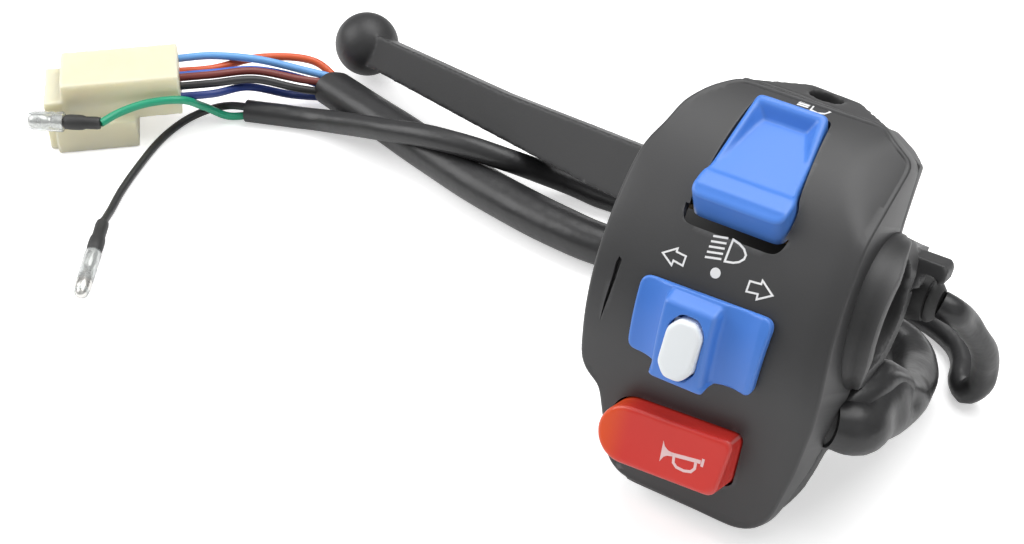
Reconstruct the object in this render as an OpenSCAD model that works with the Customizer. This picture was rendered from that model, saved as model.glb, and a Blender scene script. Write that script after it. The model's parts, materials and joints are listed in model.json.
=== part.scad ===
// Handlebar switch cluster: a two-piece housing clamped on a handlebar, with a dip rocker, an indicator
// slide, a horn button, a cable brake lever with its brake-light switch, and the wiring.
// Millimetres. X runs along the handlebar towards the middle of the vehicle, +Y is forward, +Z is up.
// The origin is on the handlebar's axis. The housing leans forward about that axis by the recline angle.

/* [Handlebar] */
// Diameter of the handlebar that the two halves close on
bar_d = 22.2; // [21.8:0.1:22.6]
// Forward lean of the housing about the handlebar
recline = 35; // [30:1:38]

/* [Housing] */
// From the middle of the housing to its grip-side wall
left_x = 23.7; // [23.5:0.1:27]
// From the middle of the housing to its inboard wall
right_x = 25.5; // [25:0.5:28]
// Top edge above the handlebar's axis
top_z = 33; // [32.5:0.5:35]
// Chin below the handlebar's axis
chin_z = 50.2; // [49.8:0.1:53]
// Nose of the rider-side face in front of the axis
nose_y = 22.3; // [22:0.1:24]
// Radius of the upper part of the face
face_r_top = 40; // [38:1:44]
// Radius of the lower part of the face
face_r_low = 38; // [36:1:40]
// Wall of both halves
wall = 2.5; // [2:0.1:2.8]
// Thickness of the rear half behind the joint
rear_y = 9; // [8.5:0.5:11]
// How far the inboard side of the rear half draws in towards the back
rear_draw = 6; // [4:0.5:6.5]
// Radius of the rear half's saddle over the handlebar
saddle_r = 16.5; // [15.5:0.5:17.5]
// Radius of the collar on the inboard side
collar_r = 15; // [14:0.5:16]

/* [Dip rocker] */
// Height of the rocker's middle above the handlebar's axis
rocker_z = 22.2; // [21.6:0.2:22.6]
// Lean of the rocker's top face at rest
rocker_lean = 39.6; // [38:0.2:41]
// Width of the rocker at its upper end
rocker_w = 15.6; // [14.4:0.2:16]
// Angle that the rocker rocks through
rocker_throw = 14; // [10:1:14]

/* [Indicator slide] */
// Width over the two wings
slide_w = 26; // [24:0.5:27]
// Width of the ridge between the wings
ridge_w = 10.8; // [10.4:0.2:12]
// Travel of the slide to each side
slide_travel = 3.5; // [2.5:0.5:4]
// Length of the cancel button along the ridge
cancel_len = 12.4; // [10:0.2:13]
// Width of the cancel button
cancel_w = 7; // [6:0.2:7.4]
// Travel of the cancel button
cancel_travel = 1.4; // [1:0.1:1.5]

/* [Horn button] */
// Height of the horn button
horn_h = 11.9; // [11:0.1:12.4]
// Grip-side end of the horn button
horn_left = 15; // [14:0.2:15.2]
// Inboard end of the horn button
horn_right = 11; // [10:0.2:11.6]
// Travel of the horn button
horn_travel = 2.5; // [1.5:0.1:2.6]

/* [Brake lever] */
// Pivot of the lever behind the handlebar's axis
pivot_y = 36; // [35.5:0.5:38]
// Pivot of the lever inboard of the housing's middle
pivot_x = 6; // [5:0.5:7]
// Radius of the lever's hub
hub_r = 8.5; // [8:0.25:9]
// From the middle of the housing out to the lever's ball
ball_x = 144; // [136:1:150]
// Diameter of the ball
ball_d = 16.6; // [15:0.2:17]
// Thickness of the blade
blade_t = 8; // [7:0.5:9]
// Radius of the pivot bolt
bolt_r = 3; // [2.5:0.1:3.4]

/* [Wiring] */
// Diameter of the main sleeve
main_d = 10; // [9:0.2:10.2]
// Diameter of the brake-light lead's sleeve
lead_d = 5.8; // [5:0.1:6]
// Diameter of a single wire
wire_d = 2; // [1.6:0.1:2.1]

/* [Hidden] */
$fn = 48;
eps = 0.01;
bore_r = bar_d / 2;
table_z = -45;
black = [0.16, 0.16, 0.17];
blue = [0.30, 0.55, 0.93];
brass = [0.80, 0.66, 0.36];
steel = [0.72, 0.73, 0.75];
tan_plastic = [0.72, 0.62, 0.46];

// Face of the front half: two arcs that meet at the nose, then a straight flank down to the chin
nose_z = -2;
flank_a = 30;
top_cy = face_r_top - nose_y;
low_cy = face_r_low - nose_y;
flank_z = nose_z - face_r_low * sin(flank_a);
flank_y = low_cy - face_r_low * cos(flank_a);
function top_arc(z, i) = top_cy - sqrt(pow(face_r_top - i, 2) - pow(z - nose_z, 2));
function low_arc(z, i) = low_cy - sqrt(pow(face_r_low - i, 2) - pow(z - nose_z, 2));
function face_y(z) = z > nose_z ? top_arc(z, 0)
  : z > flank_z ? low_arc(z, 0) : flank_y + (flank_z - z) * tan(flank_a);
function at_low(r, a) = [low_cy - r * cos(a), nose_z - r * sin(a)];

// Outline of both halves seen from the rider, drawn in by a wall's thickness for the inside
shoulder_r = 16;
top_draw = 2;
left_corner_r = 6;
chin_left = 16.5;
chin_r = 6.5;
chin_right_r = 11;
function arc(c, r, a0, a1, n) = [for (k = [0:n]) c + r * [cos(a0 + (a1 - a0) * k / n),
  sin(a0 + (a1 - a0) * k / n)]];
function outline(i) = concat(
  [[15.1 - 0.2 * i, top_z - i], [-15.2 + 0.5 * i, top_z - i]],
  arc([shoulder_r - left_x, 14], shoulder_r - i, 147, 180, 5),
  arc([left_corner_r - left_x, -24.5], left_corner_r - i, 180, 260, 6),
  [[-chin_left - 1.7 + i, -32.5 - 0.2 * i]],
  arc([chin_r - chin_left + 0.5, chin_r - chin_z], chin_r - i, 180, 270, 6),
  arc([9, chin_right_r - chin_z], chin_right_r - i, 270, 347, 7),
  [[22.5 - i, -33], [right_x - 0.5 - i, -22], [right_x - i, -17],
    [right_x - top_draw - i, top_z - 4.5 - 0.4 * i]]);

// Facet across the upper inboard corner of the face, through three points
facet_a = [16.4, face_y(26.8), 26.8];
facet_b = [right_x - 1.9, face_y(12.9), 12.9];
facet_c = [right_x - top_draw, -4.5, top_z - 4.5];

// Controls
rocker_x = -0.7;
rocker_y = face_y(rocker_z) - 0.7;
rocker_pin_r = 1.25;
rocker_pin_d = 8;
slide_in = 0.35;
slide_out = 1.9;
ridge_out = 4.6;
knob_a = 19.6;
horn_z = -36.4;
horn_y = face_y(horn_z) - 6.7;
horn_lean = 12;
horn_back = 12.7;
grommet = [right_x, 2.2, -22.5];
grommet_r = 5.4;
screws = [[15.6, 25.8], [-17.4, 17.5], [15.8, -22.5]];
screw_r = 2;
screw_tip = -6;
boss_r = 3.5;

// Lever perch and brake-light switch
hub_z0 = 1;
hub_z1 = 11;
ear_t = 4;
ear_gap = 0.3;
switch_y = pivot_y - 13;
switch_z = 3.5;
switch_r = 4;
web_x0 = pivot_x + 8;
web_x1 = pivot_x + 18;
nose_x = pivot_x + 2.3;
plunger_r = 1.5;

// Guide hook on the inboard side, and the stop for the cable's casing in front of the pivot
hook_x = web_x1 + 9;
hook_y = 14;
hook_z = 13;
hook_w = 4.5;
stop_x0 = pivot_x + 0.5;
stop_x1 = pivot_x + 4.5;
stop_y = pivot_y + 15;
stop_z = 3;
casing_r = 2.6;
cable_r = 1;
nipple_r = 3;

// Cords, in the frame of the row
z_main = table_z + main_d / 2;
z_lead = table_z + lead_d / 2;
main_start = [right_x + 1, cos(recline) * grommet[1] + sin(recline) * grommet[2],
  cos(recline) * grommet[2] - sin(recline) * grommet[1]];
main_path = [main_start, main_start + [2.3, 1.6, -0.9], [29.3, -4.5, -22], [29.5, 3, -26], [29, 13, -30.5],
  [27.5, 22.5, -35], [25.5, 30.5, -38.5], [21.5, 37, z_main], [15, 39.8, z_main], [4, 41, z_main],
  [-20, 39, z_main],
  [-53, 33.8, z_main], [-64, 34.2, z_main], [-75, 35.4, z_main], [-90, 38.2, z_main], [-105, 42, z_main],
  [-120, 46.2, z_main], [-134, 49.6, z_main], [-144, 52.2, z_main]];
lead_start = [pivot_x + 25, cos(recline) * switch_y + sin(recline) * switch_z,
  cos(recline) * switch_z - sin(recline) * switch_y];
lead_path = [lead_start, lead_start + [2.5, 0.5, -1], [35.5, 26, -17], [38, 31, -25], [39, 34, -33],
  [38.5, 34.5, -39], [36, 34.5, z_lead], [34, 37, z_lead], [32.5, 42, z_lead], [29, 47, z_lead],
  [22, 51, z_lead], [10, 52.5, z_lead], [-30, 52.5, z_lead], [-52, 52, z_lead], [-63.9, 51.6, z_lead],
  [-70.6, 51.1, -41.2], [-78.4, 47.6, -38], [-85.7, 42, -33.4], [-93.9, 39.7, -31.9], [-104.9, 38.4, -32.2],
  [-116.8, 38.3, -34.8], [-130.1, 39.5, -38.7], [-139.8, 40, -41.4], [-146.8, 38.4, z_lead],
  [-152.9, 36.2, z_lead], [-158.2, 34.3, z_lead]];

// Connector lying beside the end of the main sleeve
plug_c = [-180.5, 13.8];
plug_a = 41.5;
function plug_pt(x, y, z) = [plug_c[0] + x * cos(plug_a) - y * sin(plug_a),
  plug_c[1] + x * sin(plug_a) + y * cos(plug_a), table_z + z];
plug_end = 14.5;

module placed() {
  rotate([-recline, 0, 0]) children();
}

// Frame on the face: local +Y points into the housing, local Z runs up the face
module on_face(x, y, z, a) {
  translate([x, y, z]) rotate([a, 0, 0]) children();
}

module along_x(x0, x1) {
  translate([x0, 0, 0]) rotate([90, 0, 90]) linear_extrude(x1 - x0) children();
}

module along_y(y0, y1) {
  translate([0, y1, 0]) rotate([90, 0, 0]) linear_extrude(y1 - y0) children();
}

module rod_x(x0, x1, y, z, r) {
  translate([x0, y, z]) rotate([0, 90, 0]) cylinder(r = r, h = x1 - x0);
}

module rod_y(y0, y1, x, z, r) {
  translate([x, y1, z]) rotate([90, 0, 0]) cylinder(r = r, h = y1 - y0);
}

module box(x0, x1, y0, y1, z0, z1) {
  translate([x0, y0, z0]) cube([x1 - x0, y1 - y0, z1 - z0]);
}

module pill(w, l) {
  union() {
    square([w, l - w], center = true);
    translate([0, (l - w) / 2]) circle(d = w);
    translate([0, (w - l) / 2]) circle(d = w);
  }
}

function unit(v) = v / norm(v);
function tangent(p, i) = unit(p[min(i + 1, len(p) - 1)] - p[max(i - 1, 0)]);
function carry(t, n, i) = i == len(t) ? [] :
  let(m = unit(n - (n * t[i]) * t[i])) concat([m], carry(t, m, i + 1));

// Round cord through a list of points
module cord(p, d, sides) {
  t = [for (i = [0:len(p) - 1]) tangent(p, i)];
  n = carry(t, abs(t[0][2]) > 0.8 ? [1, 0, 0] : [0, 0, 1], 0);
  pts = [for (i = [0:len(p) - 1]) for (j = [0:sides - 1])
    p[i] + d / 2 * (cos(360 * j / sides) * n[i] + sin(360 * j / sides) * cross(t[i], n[i]))];
  walls = [for (i = [0:len(p) - 2]) for (j = [0:sides - 1]) for (k = [0, 1])
    let(a = i * sides + j, b = i * sides + (j + 1) % sides)
    k == 0 ? [a, a + sides, b + sides] : [a, b + sides, b]];
  ends = [[for (j = [0:sides - 1]) j], [for (j = [sides - 1:-1:0]) (len(p) - 1) * sides + j]];
  polyhedron(points = pts, faces = concat(walls, ends), convexity = 10);
}

// Coil along +Y from y0 to y1
module coil(y0, y1, r, d, turns) {
  steps = turns * 8;
  rise = (y1 - y0 - d) / steps;
  cord([for (k = [0:steps]) [r * cos(45 * k), y0 + d / 2 + rise * k, r * sin(45 * k)]], d, 5);
}

function profile(i) = concat(
  [[1, top_z + 9]],
  [for (k = [0:12]) let(z = top_z + 2 - k * (top_z + 2 - nose_z) / 12) [top_arc(z, i), z]],
  [for (k = [1:9]) let(a = flank_a * k / 9) at_low(face_r_low - i, a)],
  [at_low(face_r_low - i, flank_a) + 60 * [sin(flank_a), -cos(flank_a)]]);

// Everything outside the facet, moved in by a wall's thickness
module beyond_facet(i) {
  n = unit(cross(facet_b - facet_a, facet_c - facet_a));
  translate(facet_a - i * n) rotate([0, -asin(n[2]), atan2(n[1], n[0])]) box(0, 30, -60, 60, -60, 60);
}

module front_body(i) {
  difference() {
    intersection() {
      along_x(-left_x - 1, right_x + 1) polygon(profile(i));
      along_y(-nose_y - 2, 0) polygon(outline(i));
    }
    beyond_facet(i);
  }
}

// Rear half, with both sides drawn in towards the back
module rear_body(i) {
  intersection() {
    along_y(i > 0 ? -1 : 0, rear_y - i) polygon(outline(i));
    translate([0, 0, -chin_z - 1]) linear_extrude(chin_z + top_z + 2)
      polygon([[i - left_x, -2], [i - left_x, 0], [i - left_x + 2, rear_y], [right_x - rear_draw - i, rear_y],
        [right_x - i, 0], [right_x - i, -2]]);
  }
}

module rocker_outline(c) {
  w = rocker_w / 2 + c;
  polygon([[-w, 13.4 + c], [w, 13.4 + c], [w + 1.4, -7.4], [w + 2, -8.6 + c], [w + 2, -13.4 - c],
    [w + 1.2, -14.6 - 2 * c], [-w - 1.2, -14.6 - 2 * c], [-w - 2, -13.4 - c], [-w - 2, -8.6 + c],
    [-w - 1.4, -7.4]]);
}

module on_rocker() {
  on_face(rocker_x, rocker_y, rocker_z, -rocker_lean) children();
}

module on_horn() {
  on_face(0, horn_y, horn_z, horn_lean) children();
}

module on_knob(r) {
  on_face(-0.7, low_cy - r * cos(knob_a), nose_z - r * sin(knob_a), knob_a) children();
}

module horn_outline(c) {
  r = horn_h / 2;
  union() {
    translate([r - horn_left, 0]) circle(r = r + c);
    polygon([[r - horn_left, -r - c], [horn_right - 1 + c, -r - c], [horn_right + c, 1 - r - c],
      [horn_right + c, r - 1 + c], [horn_right - 1 + c, r + c], [r - horn_left, r + c]]);
  }
}

module low_band(r0, r1, a0, a1, x0, x1) {
  along_x(x0, x1) polygon(concat([for (k = [0:6]) at_low(r0, a0 + (a1 - a0) * k / 6)],
    [for (k = [6:-1:0]) at_low(r1, a0 + (a1 - a0) * k / 6)]));
}

module front_shell() {
  color(black) placed() difference() {
    union() {
      difference() {
        union() {
          front_body(0);
          intersection() {
            rod_x(right_x - 2, right_x + 6, 0, 0, collar_r);
            along_z_collar();
          }
        }
        front_body(wall);
        rod_x(-left_x - 2, right_x - 4, 0, 0, bore_r + 0.1);
        rod_x(right_x - 5, right_x + 9, 0, 0, 12);
      }
      intersection() {
        front_body(0.5);
        union() {
          for (s = screws) rod_y(-nose_y, 0, s[0], s[1], boss_r);
          on_rocker() for (s = [-1, 1]) box(s * 13.2 - 0.8, s * 13.2 + 0.8, -2, 11.2, -8, 8);
          for (s = [-1, 1]) low_band(face_r_low - wall - 2.4, face_r_low - 0.6, 7, 25, s * 18 - 0.8,
            s * 18 + 0.8);
        }
      }
    }
    on_rocker() along_y(-6, 9) rocker_outline(0.6);
    on_rocker() box(-12.4, 12.4, 3.2, 11.2, -9, 9);
    low_band(face_r_low - wall - 1, face_r_low + 2, 11.5, 22.5, -3 - slide_travel - 0.7,
      3 + slide_travel + 0.7);
    on_horn() along_y(-4, 12 + horn_travel + 1) horn_outline(0.4);
    rod_x(right_x - 6, right_x + 2, grommet[1], grommet[2], grommet_r);
    for (s = screws) rod_y(screw_tip - 1, 1, s[0], s[1], screw_r);
  }
}

// Front collar's end slants forward to a longer lip at the front
module along_z_collar() {
  translate([0, 0, -20]) linear_extrude(40) polygon([[right_x - 2, 0], [right_x - 2, -20],
    [right_x + 4.7, -20], [right_x + 4.4, -12], [right_x + 1.5, 0]]);
}

module rear_shell() {
  color(black) placed() difference() {
    union() {
      difference() {
        rear_body(0);
        rear_body(wall);
      }
      intersection() {
        rod_x(-left_x, right_x - rear_draw, 0, 0, saddle_r);
        box(-left_x, right_x, 0, saddle_r + 1, -saddle_r, saddle_r);
      }
      intersection() {
        rod_x(right_x - rear_draw - 1, right_x + 1.5, 0, 0, collar_r);
        box(right_x - rear_draw - 1, right_x + 1.5, 0, collar_r, -collar_r, collar_r);
      }
      for (s = screws) rod_y(0, rear_y, s[0], s[1], boss_r);
      for (x = [-7, 6]) rod_y(4.5, rear_y, x, -40, 2);
      mirror_boss();
      perch();
      intersection() {
        rod_x(right_x - 6, right_x - 1, grommet[1], grommet[2], grommet_r + 1.6);
        along_y(0, rear_y) polygon(outline(0));
      }
    }
    rod_x(-left_x - 2, right_x + 9, 0, 0, bore_r);
    translate([0.5, 5, top_z + 1.7]) rotate([16, 0, 0]) {
      translate([0, 0, -14]) cylinder(r = 3.4, h = 15);
    }
    for (s = screws) rod_y(-1, rear_y + 1, s[0], s[1], screw_r + 0.15);
    rod_x(right_x - 6, right_x + 2, grommet[1], grommet[2], grommet_r);
    on_rocker() box(-14.1, 14.1, 10.9, 14.3, -9.5, 9.5);
    translate([pivot_x, pivot_y, -20]) cylinder(r = bolt_r + 0.05, h = 50);
    translate([pivot_x, pivot_y, hub_z0 - ear_gap])
      cylinder(r = hub_r + 3, h = hub_z1 - hub_z0 + 2 * ear_gap);
    rod_x(web_x0 - 1, web_x1 + 1, switch_y, switch_z, switch_r + 0.03);
    rod_x(stop_x0 + 1.4, stop_x1 + 1, stop_y, stop_z, casing_r);
    box(stop_x0 - 1, stop_x1 + 1, stop_y - cable_r, stop_y + cable_r, stop_z - cable_r, stop_z + 9);
    rotate([recline, 0, 0]) box(-60, 60, -60, 90, table_z - 30, table_z);
  }
}

// Block round the mirror's threaded hole, with the top of the rear half sloping up behind the joint
module mirror_boss() {
  intersection() {
    along_x(-14, 15) polygon([[0, top_z - 1], [0, top_z + 0.2], [rear_y, top_z + 2.8], [rear_y, top_z - 1]]);
    translate([0, 0, top_z - 2]) linear_extrude(6)
      polygon([[-13, 0], [-4.6, rear_y], [6.5, rear_y], [14.5, 1.5], [14.5, 0]]);
  }
  along_x(-4.6, 6.5) polygon([[0, top_z - 18], [0, top_z + 0.2], [rear_y, top_z + 2.8],
    [rear_y + 5, top_z - 6], [rear_y + 5, top_z - 11], [rear_y, top_z - 18]]);
}

// Two ears for the lever's hub, the web that holds the switch, the guide hook and the cable stop
module perch() {
  ear_z = hub_z0 - ear_gap - ear_t;
  for (z = [ear_z, hub_z1 + ear_gap]) {
    translate([0, 0, z]) linear_extrude(ear_t) union() {
      polygon([[pivot_x - 16, 13], [web_x1, 13], [web_x1, 26], [pivot_x + hub_r - 1, pivot_y + 3],
        [pivot_x - hub_r + 0.5, pivot_y + 3]]);
      translate([pivot_x, pivot_y]) circle(r = hub_r);
    }
  }
  box(web_x0, web_x1, 12, 28, ear_z, hub_z1 + ear_gap + ear_t);
  difference() {
    along_y(hook_y, hook_y + hook_w) polygon([[web_x1 - 1, hook_z - 6.2], [web_x1 - 1, hook_z],
      [hook_x - 0.8, hook_z], [hook_x, hook_z - 0.8], [hook_x, hook_z - 3.4], [hook_x - 0.8, hook_z - 4.2],
      [hook_x - 1.4, hook_z - 4.4], [hook_x - 4.8, hook_z - 6.2]]);
    rod_y(hook_y - 1, hook_y + hook_w + 1, hook_x - 3.1, hook_z - 4.6, 1.9);
  }
  translate([0, 0, ear_z]) linear_extrude(ear_t)
    polygon([[pivot_x - 6, pivot_y + 4], [pivot_x + hub_r - 0.5, pivot_y], [stop_x1, stop_y - 4],
      [stop_x1, stop_y + 4.5], [stop_x0, stop_y + 4.5]]);
  box(stop_x0, stop_x1, stop_y - 4, stop_y + 4.5, ear_z, stop_z + 3.2);
}

module housing_screws() {
  color(steel) placed() for (s = screws) difference() {
    union() {
      rod_y(screw_tip, rear_y, s[0], s[1], screw_r);
      rod_y(rear_y, rear_y + 2.6, s[0], s[1], 3.6);
    }
    on_face(s[0], rear_y + 1.4, s[1], 0) box(-0.5, 0.5, 0, 2, -2.4, 2.4);
    on_face(s[0], rear_y + 1.4, s[1], 0) box(-2.4, 2.4, 0, 2, -0.5, 0.5);
  }
}

module dip_rocker() {
  w = rocker_w / 2;
  color(blue) placed() on_rocker() difference() {
    intersection() {
      along_x(-12, 12) polygon([[0, 12.2], [1.5, 13.2], [5.5, 13.4], [9.5, 4], [10.5, 2], [10.5, -2],
        [9.5, -4], [6.5, -14.2], [3.5, -14.4], [0.6, -12.2], [0, -11.2]]);
      along_y(-1, 12) rocker_outline(0);
    }
    intersection() {
      along_x(-12, 12)
        polygon([[-1, -7.4], [0, -7.4], [0.9, -2], [2.7, 6.5], [2.4, 9.4], [0, 10.8], [-1, 10.8]]);
      along_y(-2, 6) polygon([[1.5 - w, 11.2], [w - 1.5, 11.2], [w + 0.2, -7.6], [-w - 0.2, -7.6]]);
    }
    rod_x(-12, 12, rocker_pin_d, 0, rocker_pin_r + 0.05);
    rod_y(9, 11, 0, 0, 1.2);
  }
}

module dip_plunger() {
  color(brass) placed() on_rocker() rod_y(9.3, 10.9, 0, 0, 1.2);
}

module dip_pin() {
  color(steel) placed() on_rocker() rod_x(-12.2, 12.2, rocker_pin_d, 0, rocker_pin_r);
}

module dip_base() {
  color(tan_plastic) placed() on_rocker() difference() {
    union() {
      box(-12.9, 12.9, 11.2, 12.8, -9, 9);
      for (s = [-1, 1]) box(s * 11.3 - 0.9, s * 11.3 + 0.9, 5.8, 11.3, -3, 3);
    }
    rod_x(-14, 14, rocker_pin_d, 0, rocker_pin_r);
  }
}

module dip_contacts() {
  color(brass) placed() on_rocker() for (s = [-1, 1]) box(-2.5, 2.5, 12.8, 13.5, s * 5 - 2, s * 5 + 2);
}

module indicator_slider() {
  r = face_r_low;
  color(blue) placed() difference() {
    union() {
      low_band(r + slide_in, r + slide_out, 5.9, 28.1, -slide_w / 2, slide_w / 2);
      low_band(r + slide_in, r + ridge_out, 8.2, 29.6, -ridge_w / 2, ridge_w / 2);
      low_band(r - wall - 0.3, r + slide_in + 0.1, 12.5, 21.5, -3, 3);
    }
    for (s = [-1, 1])
      on_face(s * (slide_w + ridge_w) / 4, low_cy - (r + 33) * cos(17), nose_z - (r + 33) * sin(17), 17)
        translate([0, 0, -12]) cylinder(r = 32, h = 24, $fn = 96);
    on_knob(r + 0.9) along_y(-8, 0) pill(cancel_w + 0.5, cancel_len + 0.5);
  }
}

module slider_carriage() {
  r = face_r_low - wall;
  color(tan_plastic) placed() low_band(r - 2.2, r - 0.3, 9, 25, -8, 8);
}

module cancel_button() {
  color([0.93, 0.94, 0.94]) placed() on_knob(face_r_low) union() {
    along_y(-5.4, -2.6) pill(cancel_w, cancel_len);
    along_y(-5.9, -5.3) pill(cancel_w - 1, cancel_len - 1);
  }
}

module cancel_spring() {
  color(steel) placed() on_knob(face_r_low) coil(-2.6, -0.9, 2, 0.4, 3);
}

module indicator_base() {
  r = face_r_low - wall;
  color(tan_plastic) placed() low_band(r - 4.2, r - 2.4, 7.5, 24.5, -18.8, 18.8);
}

module indicator_contacts() {
  r = face_r_low - wall;
  color(brass) placed() for (x = [-9, 0, 9]) low_band(r - 4.95, r - 4.24, 10, 22, x - 2, x + 2);
}

module horn_button() {
  color([0.78, 0.20, 0.15]) placed() on_horn() union() {
    along_y(0, 0.7) horn_outline(-0.6);
    along_y(0.6, 11.3) horn_outline(0);
    box(-8, horn_right + 1.2, 11.2, horn_back, -horn_h / 2 - 1.1, horn_h / 2 + 1.1);
  }
}

module horn_spring() {
  color(steel) placed() on_horn() translate([-2, 0, 0]) coil(horn_back, 17.6, 3.2, 0.7, 4);
}

module horn_base() {
  color(tan_plastic) placed() box(-11.5, 10, 3, 4.5, -43, -27);
}

module horn_contact() {
  tip_y = horn_y + cos(horn_lean) * (horn_back + 0.5 + horn_travel) + 0.3;
  color(brass) placed() rod_y(tip_y, 3, 7, horn_z + 3.2, 1.2);
}

module horn_bridge() {
  color(brass) placed() on_horn() rod_y(horn_back, horn_back + 0.5, 7, 0, 1.6);
}

// Plan of the blade: rider-side line from the hub out to the ball
ball_at = [-ball_x, pivot_y + 39.4, 10];
blade_mid = [[pivot_x, pivot_y + 0.5], [pivot_x - 12, pivot_y + 1], [pivot_x - 24, pivot_y + 3.4],
  [pivot_x - 40, pivot_y + 8], [pivot_x - 60, pivot_y + 14.2], ball_at * 1];
module blade_plan() {
  n = len(blade_mid);
  q = [for (k = [0:n - 1]) let(a = blade_mid[max(k - 1, 0)], b = blade_mid[min(k + 1, n - 1)],
    d = unit([b[0] - a[0], b[1] - a[1]]), h = k < 2 ? blade_t / 2 + 2 - k : blade_t / 2,
    m = [blade_mid[k][0], blade_mid[k][1]], s = h * [-d[1], d[0]]) [m + s, m - s]];
  polygon(concat([for (e = q) e[0]], [for (k = [n - 1:-1:0]) q[k][1]]));
}

module brake_lever() {
  x = pivot_x;
  color(black) placed() difference() {
    union() {
      translate([x, pivot_y, hub_z0]) cylinder(r = hub_r, h = hub_z1 - hub_z0);
      intersection() {
        translate([0, 0, -4]) linear_extrude(20) blade_plan();
        along_y(20, 90) polygon([[x, hub_z0], [x, hub_z1], [x - 16, hub_z1], [x - 30, 11.2], [x - 100, 11.4],
          [-ball_x, 13.6], [-ball_x, 5.4], [x - 105, 1.5], [x - 66, -1.5], [x - 30, -3], [x - 16, hub_z0]]);
      }
      translate([0, 0, hub_z0]) linear_extrude(stop_z + 3 - hub_z0) polygon([[x - 11, pivot_y + 2],
        [x + 8, pivot_y + 2], [x - 0.8, pivot_y + 9.5], [x - 0.8, stop_y + 4.5], [x - 11, stop_y + 4.5]]);
      box(x - 11, nose_x, switch_y - 2.5, pivot_y - 4, hub_z0, hub_z1);
      translate(ball_at) sphere(d = ball_d);
    }
    translate([x, pivot_y, -1]) cylinder(r = bolt_r + 1, h = 20);
    translate([x - 5.5, stop_y, hub_z0 - 1]) cylinder(r = nipple_r, h = 20);
    box(x - 5.5, x + 1, stop_y - cable_r, stop_y + cable_r, stop_z - cable_r, stop_z + 9);
  }
}

module lever_bush() {
  color(brass) placed() translate([pivot_x, pivot_y, hub_z0]) difference() {
    cylinder(r = bolt_r + 1, h = hub_z1 - hub_z0);
    translate([0, 0, -1]) cylinder(r = bolt_r + 0.05, h = 20);
  }
}

module pivot_bolt() {
  z1 = hub_z1 + ear_gap + ear_t;
  color(steel) placed() translate([pivot_x, pivot_y, 0]) union() {
    translate([0, 0, hub_z0 - ear_gap - ear_t - 6])
      cylinder(r = bolt_r, h = z1 - hub_z0 + ear_gap + ear_t + 6);
    translate([0, 0, z1]) cylinder(r = 5.4, h = 3.6, $fn = 6);
  }
}

module pivot_nut() {
  color(steel) placed() translate([pivot_x, pivot_y, hub_z0 - ear_gap - ear_t - 5]) difference() {
    cylinder(r = 5.8, h = 5, $fn = 6);
    translate([0, 0, -1]) cylinder(r = bolt_r, h = 7);
  }
}

module brake_switch_body() {
  color([0.10, 0.10, 0.10]) placed() difference() {
    rod_x(web_x0, web_x1 + 4, switch_y, switch_z, switch_r);
    rod_x(web_x0 - 1, web_x1 + 1, switch_y, switch_z, plunger_r + 0.05);
  }
}

module switch_plunger() {
  color([0.85, 0.85, 0.82]) placed() union() {
    rod_x(nose_x + 0.9, web_x0 + 3.5, switch_y, switch_z, plunger_r);
    rod_x(nose_x + 0.45, nose_x + 1, switch_y, switch_z, plunger_r - 0.7);
  }
}

module plunger_spring() {
  color(steel) placed() translate([0, switch_y, switch_z]) rotate([0, 0, -90])
    coil(web_x0 + 3.5, web_x1 + 1, 1, 0.35, 5);
}

module switch_boot() {
  color([0.08, 0.08, 0.08]) placed() translate([0, switch_y, switch_z]) rotate([0, 90, 0]) rotate_extrude()
    polygon([[switch_r, web_x1 + 0.3], [switch_r + 1, web_x1 + 0.3], [switch_r + 1, web_x1 + 2],
      [switch_r + 0.5, web_x1 + 3.6], [lead_d / 2 + 0.8, web_x1 + 6.6], [lead_d / 2 + 0.4, pivot_x + 25],
      [0, pivot_x + 25], [0, web_x1 + 4], [switch_r, web_x1 + 4]]);
}

module harness_grommet() {
  color([0.08, 0.08, 0.08]) placed() union() {
    rod_x(right_x - 5, right_x - 0.4, grommet[1], grommet[2], grommet_r);
    rod_x(right_x - 0.5, right_x + 1, grommet[1], grommet[2], grommet_r);
  }
}

module main_sleeve() {
  color([0.07, 0.07, 0.07]) cord(main_path, main_d, 12);
}

module brake_lead_sleeve() {
  color([0.07, 0.07, 0.07]) cord(lead_path, lead_d, 10);
}

module single_wire(start, a, b, y, z, c) {
  color(c) cord([start, a, b, plug_pt(plug_end + 8, y, z), plug_pt(plug_end, y, z)], wire_d, 8);
}

module wire_red() {
  single_wire([-143.4, 54.8, -40], [-151.1, 54.3, -35.8], [-162.1, 46.5, -34], 7.1, 12.2,
    [0.85, 0.25, 0.12]);
}

module wire_light_blue() {
  single_wire([-143.4, 53.5, -37.8], [-149.9, 49.8, -35.8], [-160.4, 42.6, -31.9], 9.5, 14.6,
    [0.35, 0.62, 0.90]);
}

module wire_blue() {
  single_wire([-143.4, 53.5, -42.2], [-150.7, 49.6, -38.6], [-159.7, 41.1, -34], 4.7, 12.5,
    [0.15, 0.35, 0.80]);
}

module wire_brown() {
  single_wire([-143.4, 50.6, -37.6], [-149.2, 46, -35.9], [-158.2, 38.6, -32.4], 2.3, 13.5,
    [0.42, 0.14, 0.10]);
}

module wire_black() {
  single_wire([-143.4, 49.6, -40], [-148.6, 43.8, -37.2], [-156.7, 36.6, -33.3], -0.1, 12.5,
    [0.06, 0.06, 0.06]);
}

module wire_dark_blue() {
  single_wire([-143.4, 50.9, -42.2], [-152, 45.5, -41.4], [-158.9, 36.1, -36.1], -2.5, 11,
    [0.08, 0.14, 0.40]);
}

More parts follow.
